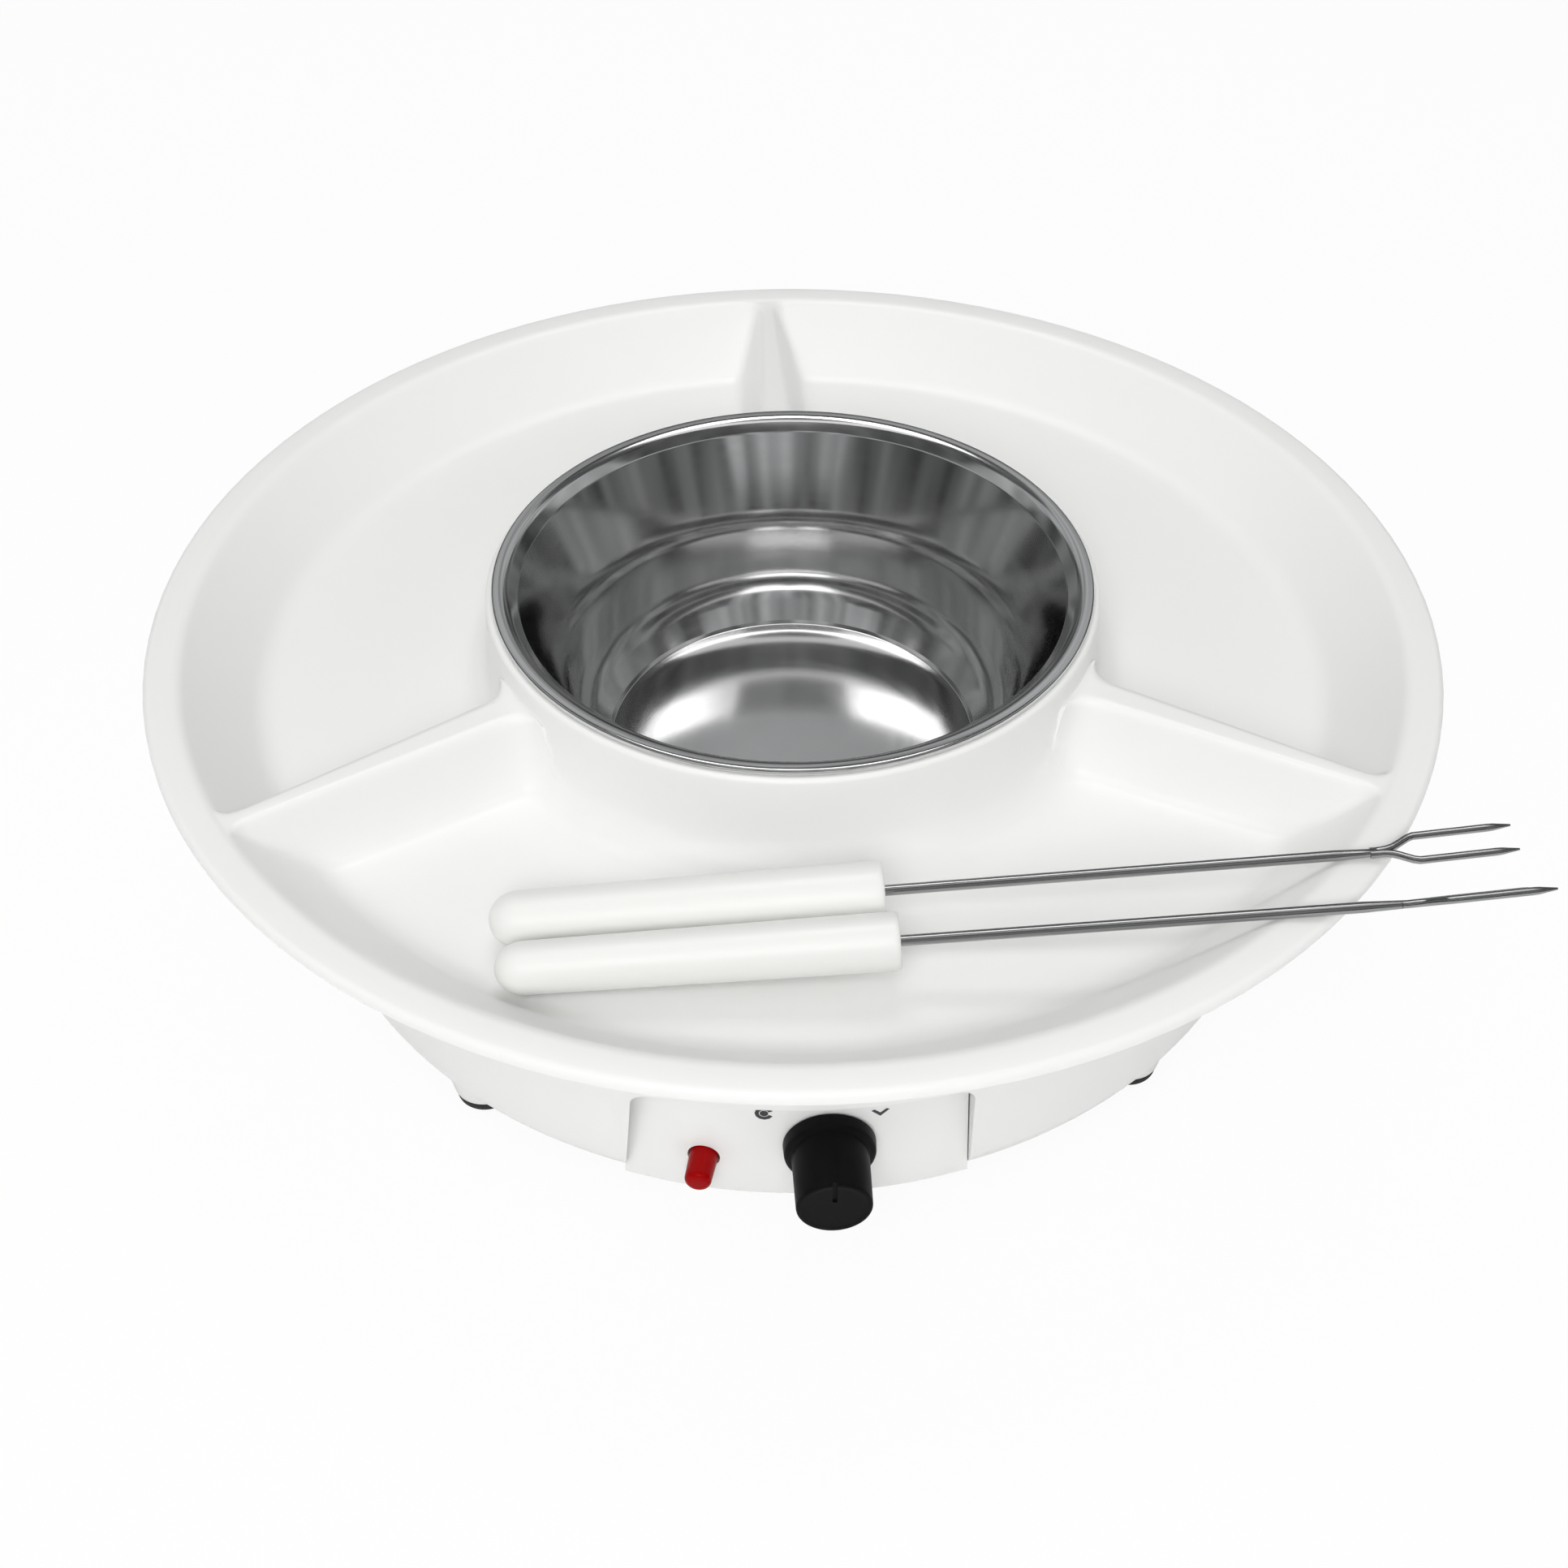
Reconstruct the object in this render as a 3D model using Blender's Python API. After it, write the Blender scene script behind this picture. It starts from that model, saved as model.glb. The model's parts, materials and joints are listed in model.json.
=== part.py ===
"""Electric chocolate melter: heated base, three-part serving tray, pot and two forks.

Lengths are in metres. The origin is on the table under the pot's centre, +Z is up
and the control panel faces -Y.
"""
from math import atan2, cos, hypot, pi, radians, sin, sqrt, tan

import bmesh
import bpy
from mathutils import Matrix, Vector

# Clearances between pieces
GAP = 0.0003
SLIP = 0.0005

# Facets round a turned piece, by its size
FACETS_LARGE = 48
FACETS_MEDIUM = 36
FACETS_SMALL = 16
FACETS_HOLE = 8
SMALL_FILLET = 0.0010

# Serving tray
TRAY_RADIUS = 0.155
TRAY_TOP = 0.087
TRAY_FLOOR = 0.070
TRAY_WALL = 0.0025
TRAY_LIP_HEIGHT = 0.0032
TRAY_LIP_WIDTH = 0.0022
RIM_WIDTH = 0.008
SLOPE_RUN = 0.017
FLOOR_FILLET = 0.009
COLLAR_TOP = 0.0936
COLLAR_BORE = 0.0712
COLLAR_TOP_WALL = 0.0029
COLLAR_DRAFT = 0.0016
COLLAR_FILLET = 0.0075
DIVIDERS = 3
DIVIDER_CREST = (0.0046, 0.0021)
DIVIDER_DROP = (0.0055, 0.0006)
DIVIDER_DRAFT = 0.0056
DIVIDER_FILLET = 0.0045
DIVIDER_CREST_FILLET = 0.0017
TRAY_RIB_WIDTH = 0.0018
TRAY_RIB_DEPTH = 0.0022

# Pot
POT_WALL = 0.0008
POT_FLOOR = 0.043
POT_FLOOR_RADIUS = 0.0475
POT_FLOOR_STEP = 0.0008
POT_CORNER_RADIUS = 0.0546
POT_CORNER_HEIGHT = 0.0510
POT_CORNER_FILLET = 0.012
POT_SHOULDER_RADIUS = 0.0568
POT_SHOULDER_HEIGHT = 0.071
POT_SHOULDER_FILLET = 0.010
POT_MOUTH_RADIUS = 0.0664
POT_MOUTH_HEIGHT = 0.0924
POT_MOUTH_FILLET = 0.0012
POT_CROWN_RADIUS = 0.0694
POT_CROWN_FILLET = 0.004
POT_RIM_RADIUS = 0.0726
POT_RIM_TOP = 0.0953
POT_RIM_FILLET = 0.0012

# Lower housing, whose radii are counted inwards from the tray's edge
HOUSING_WALL = 0.0025
HOUSING_BOTTOM = 0.0088
TRAY_OVERHANG = 0.0230
HOUSING_FLARE = 0.0088
HOUSING_TUCK = 0.0060
HOUSING_TOP_RADIUS = TRAY_RADIUS - TRAY_OVERHANG
HOUSING_KNEE_RADIUS = HOUSING_TOP_RADIUS - HOUSING_FLARE
HOUSING_FOOT_RADIUS = HOUSING_KNEE_RADIUS - HOUSING_TUCK
HOUSING_KNEE_HEIGHT = 0.017
HOUSING_KNEE_FILLET = 0.014
LEDGE_DEPTH = 0.0065
LEDGE_HEIGHT = 0.003
LEDGE_DROP = 0.0068
BOSS_RADIUS = 0.005
BOSS_TOP = 0.030
BOSS_HOLE_RADIUS = 0.0018
BOSS_WEB = 0.0022

# Bottom cover, and feet whose stems sit in the housing's hollow legs
COVER_THICKNESS = 0.0025
FOOT_INSET = 0.0067
FOOT_CIRCLE = HOUSING_FOOT_RADIUS - FOOT_INSET
LEG_BOTTOM = 0.0029
LEG_RADIUS = 0.0076
LEG_TOP_RADIUS = 0.0090
LEG_RISE = 0.0022
FOOT_RADIUS = 0.0074
FOOT_STEM_RADIUS = 0.0060
FOOT_HOLE_RADIUS = 0.002
FOOT_RECESS_RADIUS = 0.0038
FOOT_RECESS_DEPTH = 0.0042
VENT_SLOTS = 12
VENT_CIRCLE = 0.055
VENT_LENGTH = 0.026
VENT_WIDTH = 0.004
SCREW_RADIUS = 0.0015
SCREW_HEAD_RADIUS = 0.003
SCREW_HEAD_HEIGHT = 0.0018
COVER_SCREW_LENGTH = 0.020

# Deck and heat shield
DECK_THICKNESS = 0.002
DECK_HOLE_RADIUS = 0.067
DECK_SCREWS = 3
DECK_SCREW_LENGTH = 0.006
SHIELD_WALL = 0.0008
SHIELD_LIP_RADIUS = 0.0705
SHIELD_RADIUS = 0.0655
SHIELD_FLOOR = 0.0248
SHIELD_TAPER = 0.0025
SHIELD_WIRE_HOLE = 0.0065

# Heater
PLATE_RADIUS = 0.046
PLATE_THICKNESS = 0.005
ELEMENT_RADIUS = 0.030
ELEMENT_TUBE = 0.0032
ELEMENT_GAP_DEGREES = 34
ELEMENT_LEG = 0.0036
POSTS = 3
FIRST_POST_DEGREES = 40.0
POST_CIRCLE = 0.040
POST_RADIUS = 0.0034
POST_SCREW_LENGTH = 0.008
CUTOUT_RADIUS = 0.008
CUTOUT_HEIGHT = 0.0058
CUTOUT_TAB_LENGTH = 0.007
CUTOUT_TAB_WIDTH = 0.0048
CLIP_THICKNESS = 0.0008
CLIP_WIDTH = 0.008
CLIP_HALF_SPAN = 0.018

# Control panel
PANEL_INSET = 0.0032
PANEL_RADIUS = HOUSING_KNEE_RADIUS - PANEL_INSET
PANEL_THICKNESS = 0.003
PANEL_BOTTOM = 0.0096
PANEL_TOP = 0.0500
PANEL_LEFT = (-0.0438, -0.0402)
PANEL_RIGHT = (0.0342, 0.0322)
PANEL_CORNER = 0.0045
SEAT_WIDTH = 0.003
SEAT_THICKNESS = 0.0024
HOOK_INSET = 0.010
HOOK_WIDTH = 0.006
HOOK_THICKNESS = 0.0014
HOOK_BARB = 0.0011

# Heat control
KNOB_X = 0.002
KNOB_HEIGHT = 0.028
KNOB_FLANGE_RADIUS = 0.01035
KNOB_FLANGE_THICKNESS = 0.0035
KNOB_BARREL_RADIUS = 0.0086
KNOB_END_RADIUS = 0.0083
KNOB_LENGTH = 0.0177
KNOB_RECESS_RADIUS = 0.0074
KNOB_RECESS_DEPTH = 0.0036
KNOB_MARK_WIDTH = 0.0010
KNOB_MARK_DEPTH = 0.0005
SHAFT_RADIUS = 0.0027
SHAFT_FLAT = 0.0018
SHAFT_INSIDE_KNOB = 0.009
BUSH_RADIUS = 0.0035
BUSH_REACH = 0.0034
NUT_ACROSS_CORNERS = 0.0116
NUT_THICKNESS = 0.002
SWITCH_WIDTH = 0.022
SWITCH_HEIGHT = 0.020
SWITCH_DEPTH = 0.016
SWITCH_END_WALL = 0.003
SWITCH_BLADE = (0.0048, 0.0008, 0.006)
SWITCH_BLADE_OFFSET = 0.006

# Indicator lamp
LAMP_DEGREES = -12.4
LAMP_HEIGHT = 0.0210
LENS_RADIUS = 0.0034
LENS_TIP_RADIUS = 0.0030
LENS_REACH = 0.0078
LENS_FLANGE_RADIUS = 0.0050
LENS_FLANGE_THICKNESS = 0.0012
LAMP_HOLDER_LENGTH = 0.011

# Supply entry and inner leads
GLAND_HEIGHT = 0.033
GLAND_HOLE_RADIUS = 0.0036
GLAND_NECK_RADIUS = 0.0052
GLAND_FLANGE_RADIUS = 0.0075
GLAND_FLANGE_THICKNESS = 0.0022
BLOCK_SIZE = (0.030, 0.015, 0.011)
BLOCK_INSET = 0.0372
BLOCK_Y = HOUSING_FOOT_RADIUS - BLOCK_INSET
BLOCK_HOLE_RADIUS = 0.0020
BLOCK_HOLE_DEPTH = 0.005
LEAD_RADIUS = 0.0012
LEAD_HEIGHT = 0.0165
LEAD_BEND = 0.010

# Forks
FORK_LENGTH = 0.2168
HANDLE_LENGTH = 0.084
HANDLE_FRONT = (0.0068, 0.0062)
HANDLE_TAIL = (0.0062, 0.0056)
HANDLE_BORE_DEPTH = 0.012
FORK_WIRE_RADIUS = 0.00118
TINE_LENGTH = 0.029
TINE_SPREAD = 0.0030
TINE_RISE_DEGREES = 4.0
FORK_1_TAIL = (-0.0674, -0.1098)
FORK_1_HEADING_DEGREES = -1.08
FORK_1_ROLL_DEGREES = -46.0
FORK_2_TAIL = (-0.0694, -0.0953)
FORK_2_HEADING_DEGREES = -0.45
FORK_2_ROLL_DEGREES = 4.0

# Reach of the tools that cut holes through the housing's wall and the panel
HOLE_TOOL = (HOUSING_FOOT_RADIUS * 0.85, HOUSING_TOP_RADIUS * 1.02)

# Heights and radii that follow from the sizes above
TRAY_UNDERSIDE = TRAY_FLOOR - TRAY_WALL
HOUSING_TOP = TRAY_UNDERSIDE - GAP
LEDGE_TOP = HOUSING_TOP - LEDGE_DROP
DECK_BOTTOM = LEDGE_TOP + GAP
DECK_TOP = DECK_BOTTOM + DECK_THICKNESS
COVER_BOTTOM = HOUSING_BOTTOM + GAP
COVER_TOP = COVER_BOTTOM + COVER_THICKNESS
FOOT_TOP = HOUSING_BOTTOM - GAP
BOSS_BOTTOM = COVER_TOP + GAP
PLATE_TOP = POT_FLOOR - POT_WALL - GAP
PLATE_BOTTOM = PLATE_TOP - PLATE_THICKNESS
PANEL_BACK = PANEL_RADIUS - PANEL_THICKNESS
SEAT_FRONT = PANEL_BACK - GAP
SEAT_BACK = SEAT_FRONT - SEAT_THICKNESS
SWITCH_FRONT = -sqrt(PANEL_BACK ** 2 - (abs(KNOB_X) + SWITCH_WIDTH / 2) ** 2) + GAP
KNOB_BACK = -PANEL_RADIUS - GAP

WHITE = ((0.86, 0.865, 0.85), 0.28, 0.0)
CREAM = ((0.82, 0.82, 0.80), 0.35, 0.0)
BLACK = ((0.012, 0.012, 0.013), 0.42, 0.0)
RUBBER = ((0.03, 0.03, 0.03), 0.8, 0.0)
RED = ((0.55, 0.005, 0.008), 0.15, 0.0)
STEEL = ((0.62, 0.62, 0.61), 0.18, 1.0)
ZINC = ((0.70, 0.70, 0.68), 0.35, 1.0)
ALUMINIUM = ((0.80, 0.80, 0.79), 0.4, 1.0)
BRASS = ((0.78, 0.60, 0.28), 0.3, 1.0)
LEAD_BLUE = ((0.03, 0.10, 0.45), 0.5, 0.0)
LEAD_BROWN = ((0.16, 0.05, 0.02), 0.5, 0.0)


def clear_scene():
    for item in list(bpy.data.objects):
        bpy.data.objects.remove(item, do_unlink=True)


def finish_of(name, finish):
    """Principled material of this name, made once."""
    found = bpy.data.materials.get(name)
    if found:
        return found
    colour, roughness, metallic = finish
    made = bpy.data.materials.new(name)
    made.use_nodes = True
    shader = made.node_tree.nodes["Principled BSDF"]
    shader.inputs["Base Color"].default_value = (*colour, 1.0)
    shader.inputs["Roughness"].default_value = roughness
    shader.inputs["Metallic"].default_value = metallic
    made.diffuse_color = (*colour, 1.0)
    return made


def add_object(name, work, smooth=True):
    """Object from a bmesh, with faces pointing out."""
    bmesh.ops.recalc_face_normals(work, faces=work.faces)
    mesh = bpy.data.meshes.new(name)
    work.to_mesh(mesh)
    work.free()
    if smooth:
        mesh.shade_smooth()
        mesh.set_sharp_from_angle(angle=radians(32))
    made = bpy.data.objects.new(name, mesh)
    bpy.context.collection.objects.link(made)
    return made


def finished(piece, material_name, finish, parent=None, smooth=True):
    piece.data.materials.clear()
    piece.data.materials.append(finish_of(material_name, finish))
    if smooth:
        piece.data.shade_smooth()
        piece.data.set_sharp_from_angle(angle=radians(32))
    if parent:
        piece.parent = parent
    return piece


def repeated(shape, name, places, material_name, finish, parent):
    """Copies of a shape that share its mesh, one at each place, numbered from 1."""
    shape.name = "%s_1" % name
    for number, place in enumerate(places, 1):
        piece = shape
        if number > 1:
            piece = bpy.data.objects.new("%s_%d" % (name, number), shape.data)
            piece.rotation_euler = shape.rotation_euler
            bpy.context.collection.objects.link(piece)
        piece.location = place
        finished(piece, material_name, finish, parent)


def group(name, location=(0, 0, 0), turn=None, parent=None):
    """Empty that carries the pieces which move together."""
    made = bpy.data.objects.new(name, None)
    bpy.context.collection.objects.link(made)
    made.location = location
    if turn:
        made.rotation_euler = turn.to_euler()
    made.empty_display_size = 0.02
    made.parent = parent
    return made


def combine(target, tool, operation="DIFFERENCE"):
    """Boolean of two objects, applied, with the tool deleted."""
    bpy.context.view_layer.update()
    change = target.modifiers.new("combine", "BOOLEAN")
    change.operation = operation
    change.solver = "EXACT"
    change.object = tool
    depsgraph = bpy.context.evaluated_depsgraph_get()
    result = bpy.data.meshes.new_from_object(target.evaluated_get(depsgraph))
    target.modifiers.clear()
    target.data = result
    bpy.data.objects.remove(tool, do_unlink=True)
    return target


def weld(piece, distance=4e-6):
    """Merge points that cuts have left a few micrometres apart."""
    work = bmesh.new()
    work.from_mesh(piece.data)
    bmesh.ops.remove_doubles(work, verts=work.verts, dist=distance)
    work.to_mesh(piece.data)
    work.free()


def rounded(corners, steps=4):
    """Closed outline through corners (x, y, fillet radius), with arcs for the fillets."""
    outline = []
    for index, (x, y, radius) in enumerate(corners):
        here = Vector((x, y))
        if radius <= 0:
            outline.append(here)
            continue
        before = Vector(corners[index - 1][:2]) - here
        after = Vector(corners[(index + 1) % len(corners)][:2]) - here
        half = before.angle(after) / 2
        reach = min(radius / tan(half), 0.48 * before.length, 0.48 * after.length)
        fillet = reach * tan(half)
        towards = (before.normalized() + after.normalized()).normalized()
        centre = here + towards * fillet / sin(half)
        start = here + before.normalized() * reach - centre
        end = here + after.normalized() * reach - centre
        sweep = atan2(start.cross(end), start.dot(end))
        arcs = steps if radius > SMALL_FILLET else 1
        for step in range(arcs + 1):
            turn = Matrix.Rotation(sweep * step / arcs, 2)
            outline.append(centre + turn @ start)
    return outline


def thickened(line, wall):
    """Closed outline of a wall to the right of an open line, of even thickness."""
    offset = []
    for index, point in enumerate(line):
        before = line[index] - line[index - 1] if index else line[1] - line[0]
        last = index == len(line) - 1
        after = before if last else line[index + 1] - line[index]
        normals = [Vector((way.y, -way.x)).normalized() for way in (before, after)]
        mitre = (normals[0] + normals[1]).normalized()
        moved = point + mitre * wall / max(mitre.dot(normals[0]), 0.5)
        if point.x == 0:
            moved.x = 0
        offset.append(moved)
    return list(line) + offset[::-1]


def turned(name, outline, segments=FACETS_LARGE):
    """Solid of revolution about Z from a closed outline of (radius, height)."""
    work = bmesh.new()
    verts = [work.verts.new((x, 0, z)) for x, z in outline]
    edges = [work.edges.new((verts[i - 1], verts[i])) for i in range(len(verts))
             if outline[i - 1][0] > 0 or outline[i][0] > 0]
    bmesh.ops.spin(work, geom=verts + edges, axis=(0, 0, 1), cent=(0, 0, 0), dvec=(0, 0, 0),
                   angle=2 * pi, steps=segments, use_merge=True, use_duplicate=False)
    bmesh.ops.remove_doubles(work, verts=work.verts, dist=1e-6)
    return add_object(name, work)


def disc(name, radius, bottom, top, segments=FACETS_SMALL, bevel=0.0):
    """Round solid about Z, with its edges bevelled."""
    corners = [(0, bottom, 0), (radius, bottom, bevel), (radius, top, bevel), (0, top, 0)]
    return turned(name, rounded(corners, 1), segments)


def ring(name, inner, outer, bottom, top, segments=FACETS_LARGE):
    return turned(name, [(inner, bottom), (outer, bottom), (outer, top), (inner, top)], segments)


def prism(name, outline, low, high, axes="xyz"):
    """Solid extruded from an outline along the last of the three axes named."""
    order = ["xyz".index(letter) for letter in axes]
    work = bmesh.new()
    rows = []
    for level in (low, high):
        row = []
        for point in outline:
            place = [0.0, 0.0, 0.0]
            place[order[0]], place[order[1]], place[order[2]] = point[0], point[1], level
            row.append(work.verts.new(place))
        rows.append(row)
    close_loft(work, rows)
    return add_object(name, work)


def close_loft(work, rows):
    """Bridge rows of points and cap both ends."""
    for first, second in zip(rows, rows[1:]):
        for i in range(len(first)):
            work.faces.new((first[i - 1], first[i], second[i], second[i - 1]))
    work.faces.new(rows[0])
    work.faces.new(rows[-1])


def lofted(name, sections):
    """Solid through closed sections, each a list of points in space."""
    work = bmesh.new()
    close_loft(work, [[work.verts.new(point) for point in section] for section in sections])
    return add_object(name, work)


def box(name, low, high):
    outline = [(low[0], low[1]), (high[0], low[1]), (high[0], high[1]), (low[0], high[1])]
    return prism(name, outline, low[2], high[2])


def tube(name, points, radii, sides=10):
    """Solid tube along points, with a radius at each."""
    sections = []
    count = len(points)
    side = Vector((0, 0, 1))
    for index, point in enumerate(points):
        ahead = points[min(index + 1, count - 1)] - points[max(index - 1, 0)]
        way = ahead.normalized()
        side = (side - way * side.dot(way))
        if side.length < 0.2:
            side = way.orthogonal()
        side.normalize()
        across = way.cross(side)
        ring_points = []
        for k in range(sides):
            angle = 2 * pi * k / sides
            ring_points.append(point + (side * cos(angle) + across * sin(angle)) * radii[index])
        sections.append(ring_points)
    return lofted(name, sections)


def flowing(points, per_span=4):
    """Smooth curve through the points of a route."""
    route = [Vector(point) for point in points]
    ends = [route[0] * 2 - route[1]] + route + [route[-1] * 2 - route[-2]]
    curve = []
    for a, b, c, d in zip(ends, ends[1:], ends[2:], ends[3:]):
        for step in range(per_span):
            t = step / per_span
            curve.append(0.5 * (2 * b + (c - a) * t + (2 * a - 5 * b + 4 * c - d) * t ** 2
                                + (3 * b - a - 3 * c + d) * t ** 3))
    curve.append(route[-1])
    return curve


def around(radius, degrees, height=0.0):
    """Point at an angle from the front (-Y), counted towards +X."""
    return Vector((radius * sin(radians(degrees)), -radius * cos(radians(degrees)), height))


def spaced(count, first=0.0):
    return [first + 360.0 * index / count for index in range(count)]


def housing_radius(height):
    """Outer radius of the housing's wall above the knee."""
    share = (height - HOUSING_KNEE_HEIGHT) / (HOUSING_TOP - HOUSING_KNEE_HEIGHT)
    return HOUSING_KNEE_RADIUS + share * (HOUSING_TOP_RADIUS - HOUSING_KNEE_RADIUS)


def slope_angle():
    return atan2(TRAY_TOP - TRAY_FLOOR, SLOPE_RUN)


def floor_edge():
    """Radius where the tray's floor meets its sloping wall."""
    return TRAY_RADIUS - RIM_WIDTH - SLOPE_RUN


# Serving tray

def tray_shell():
    rim_inner = TRAY_RADIUS - RIM_WIDTH
    collar_outer = COLLAR_BORE + COLLAR_TOP_WALL
    lip_bottom = TRAY_TOP - TRAY_LIP_HEIGHT
    flange_under = TRAY_TOP - TRAY_WALL
    angle = slope_angle()
    under_edge = floor_edge() + TRAY_WALL * tan(angle / 2)
    under_top = floor_edge() + TRAY_WALL / sin(angle) + (flange_under - TRAY_FLOOR) / tan(angle)
    rib_outer = housing_radius(HOUSING_TOP) - HOUSING_WALL - SLIP
    rib_inner = rib_outer - TRAY_RIB_WIDTH
    rib_bottom = TRAY_UNDERSIDE - TRAY_RIB_DEPTH
    corners = [
        (COLLAR_BORE, TRAY_UNDERSIDE, 0),
        (COLLAR_BORE, COLLAR_TOP, 0.0006),
        (collar_outer, COLLAR_TOP, 0.0009),
        (collar_outer + COLLAR_DRAFT, TRAY_FLOOR, COLLAR_FILLET),
        (floor_edge(), TRAY_FLOOR, FLOOR_FILLET),
        (rim_inner, TRAY_TOP, 0.0045),
        (TRAY_RADIUS, TRAY_TOP, 0.0021),
        (TRAY_RADIUS, lip_bottom, 0.0006),
        (TRAY_RADIUS - TRAY_LIP_WIDTH, lip_bottom, 0),
        (TRAY_RADIUS - TRAY_LIP_WIDTH, flange_under, 0),
        (under_top, flange_under, 0.003),
        (under_edge, TRAY_UNDERSIDE, FLOOR_FILLET),
        (rib_outer, TRAY_UNDERSIDE, 0),
        (rib_outer, rib_bottom, 0),
        (rib_inner, rib_bottom, 0),
        (rib_inner, TRAY_UNDERSIDE, 0),
    ]
    return turned("serving_tray", rounded(corners, 2))


def divider_section(crest, top, draft, fillet, foot):
    """Half-round-topped section across a divider, as (sideways, height)."""
    flare = crest + draft
    below = foot - 0.0012
    skirt = flare + fillet * 1.3
    corners = [
        (-skirt, foot, 0),
        (-flare, foot, fillet),
        (-crest, top, DIVIDER_CREST_FILLET),
        (crest, top, DIVIDER_CREST_FILLET),
        (flare, foot, fillet),
        (skirt, foot, 0),
        (skirt, below, 0),
        (-skirt, below, 0),
    ]
    return rounded(corners, 2)


def divider(degrees):
    """Ridge from the collar's wall to the tray's sloping wall."""
    start = COLLAR_BORE + COLLAR_TOP_WALL * 0.6
    mid_wall = TRAY_WALL / 2 / sin(slope_angle())
    foot = TRAY_FLOOR - 0.00005
    # Place along the ridge, and how far the sides spread there
    stations = ((0.0, 0.0040), (0.045, 0.0016), (0.13, 0.0), (0.86, 0.0), (0.95, 0.0012), (1.0, 0.0034))
    sections = []
    for along, spread in stations:
        crest = DIVIDER_CREST[0] + (DIVIDER_CREST[1] - DIVIDER_CREST[0]) * along
        tops = (COLLAR_TOP - DIVIDER_DROP[0], TRAY_TOP - DIVIDER_DROP[1])
        top = tops[0] + (tops[1] - tops[0]) * along
        section = []
        for sideways, height in divider_section(crest + spread, top, DIVIDER_DRAFT, DIVIDER_FILLET, foot):
            end = floor_edge() + mid_wall + (height - TRAY_FLOOR) / tan(slope_angle())
            length = start + (end - start) * along
            section.append(Matrix.Rotation(radians(degrees), 3, "Z") @ Vector((sideways, -length, height)))
        sections.append(section)
    return lofted("divider", sections)


def divider_hollow(degrees):
    """Space under a divider that keeps its walls even."""
    start = COLLAR_BORE + COLLAR_TOP_WALL + COLLAR_DRAFT + COLLAR_FILLET
    sections = []
    for along in (0.0, 1.0):
        crest = DIVIDER_CREST[0] + (DIVIDER_CREST[1] - DIVIDER_CREST[0]) * along
        top = TRAY_TOP - TRAY_WALL * 2
        foot_half = crest + DIVIDER_DRAFT - TRAY_WALL
        top_half = max(crest - TRAY_WALL * 0.7, 0.0008)
        corners = [(-foot_half, TRAY_UNDERSIDE - 0.001), (-top_half, top),
                   (top_half, top), (foot_half, TRAY_UNDERSIDE - 0.001)]
        section = []
        for sideways, height in corners:
            end = floor_edge() - TRAY_WALL * 2 + (height - TRAY_FLOOR) / tan(slope_angle())
            length = start + (end - start) * along
            section.append(Matrix.Rotation(radians(degrees), 3, "Z") @ Vector((sideways, -length, height)))
        sections.append(section)
    return lofted("hollow", sections)


def make_tray(parent):
    tray = tray_shell()
    for degrees in spaced(DIVIDERS, 180.0):
        combine(tray, divider(degrees), "UNION")
    for degrees in spaced(DIVIDERS, 180.0):
        combine(tray, divider_hollow(degrees))
    return finished(tray, "white_plastic", WHITE, parent)


# Pot

def pot_line():
    """Inside of the pot, from the middle of its floor to the edge of its rolled rim."""
    edge_height = COLLAR_TOP + GAP
    corners = [
        (0, POT_FLOOR, 0),
        (POT_FLOOR_RADIUS - POT_FLOOR_STEP, POT_FLOOR, 0),
        (POT_FLOOR_RADIUS, POT_FLOOR + POT_FLOOR_STEP, 0),
        (POT_CORNER_RADIUS, POT_CORNER_HEIGHT, POT_CORNER_FILLET),
        (POT_SHOULDER_RADIUS, POT_SHOULDER_HEIGHT, POT_SHOULDER_FILLET),
        (POT_MOUTH_RADIUS, POT_MOUTH_HEIGHT, POT_MOUTH_FILLET),
        (POT_CROWN_RADIUS, POT_RIM_TOP, POT_CROWN_FILLET),
        (POT_RIM_RADIUS, POT_RIM_TOP, POT_RIM_FILLET),
        (POT_RIM_RADIUS, edge_height, 0),
    ]
    return rounded(corners, 2)


def make_pot(parent):
    pot = turned("pot", thickened(pot_line(), POT_WALL), FACETS_MEDIUM)
    return finished(pot, "polished_steel", STEEL, parent)


# Lower housing

def housing_side(inset):
    """Wall of the housing from its lower edge to its top, moved in by inset."""
    return [
        (HOUSING_FOOT_RADIUS - inset, HOUSING_BOTTOM, 0),
        (HOUSING_KNEE_RADIUS - inset, HOUSING_KNEE_HEIGHT, HOUSING_KNEE_FILLET - inset),
        (HOUSING_TOP_RADIUS - inset, HOUSING_TOP, 0),
    ]


def housing_body():
    corners = [(0, HOUSING_BOTTOM, 0)] + housing_side(0) + [(0, HOUSING_TOP, 0)]
    return turned("lower_housing", rounded(corners, 3))


def housing_cavity():
    """Hollow of the housing, with the ledge that carries the deck."""
    over = 0.005
    inner = housing_side(HOUSING_WALL)
    ledge_wall = housing_radius(LEDGE_TOP) - HOUSING_WALL
    ledge_bottom = LEDGE_TOP - LEDGE_HEIGHT
    gusset_bottom = ledge_bottom - LEDGE_DEPTH
    corners = [
        (0, HOUSING_BOTTOM - over, 0),
        (inner[0][0], HOUSING_BOTTOM - over, 0),
        inner[0],
        inner[1],
        (housing_radius(gusset_bottom) - HOUSING_WALL, gusset_bottom, 0),
        (ledge_wall - LEDGE_DEPTH, ledge_bottom, 0),
        (ledge_wall - LEDGE_DEPTH, LEDGE_TOP, 0),
        (ledge_wall, LEDGE_TOP, 0),
        inner[2],
        (inner[2][0], HOUSING_TOP + over, 0),
        (0, HOUSING_TOP + over, 0),
    ]
    return turned("cavity", rounded(corners, 3))


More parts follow.
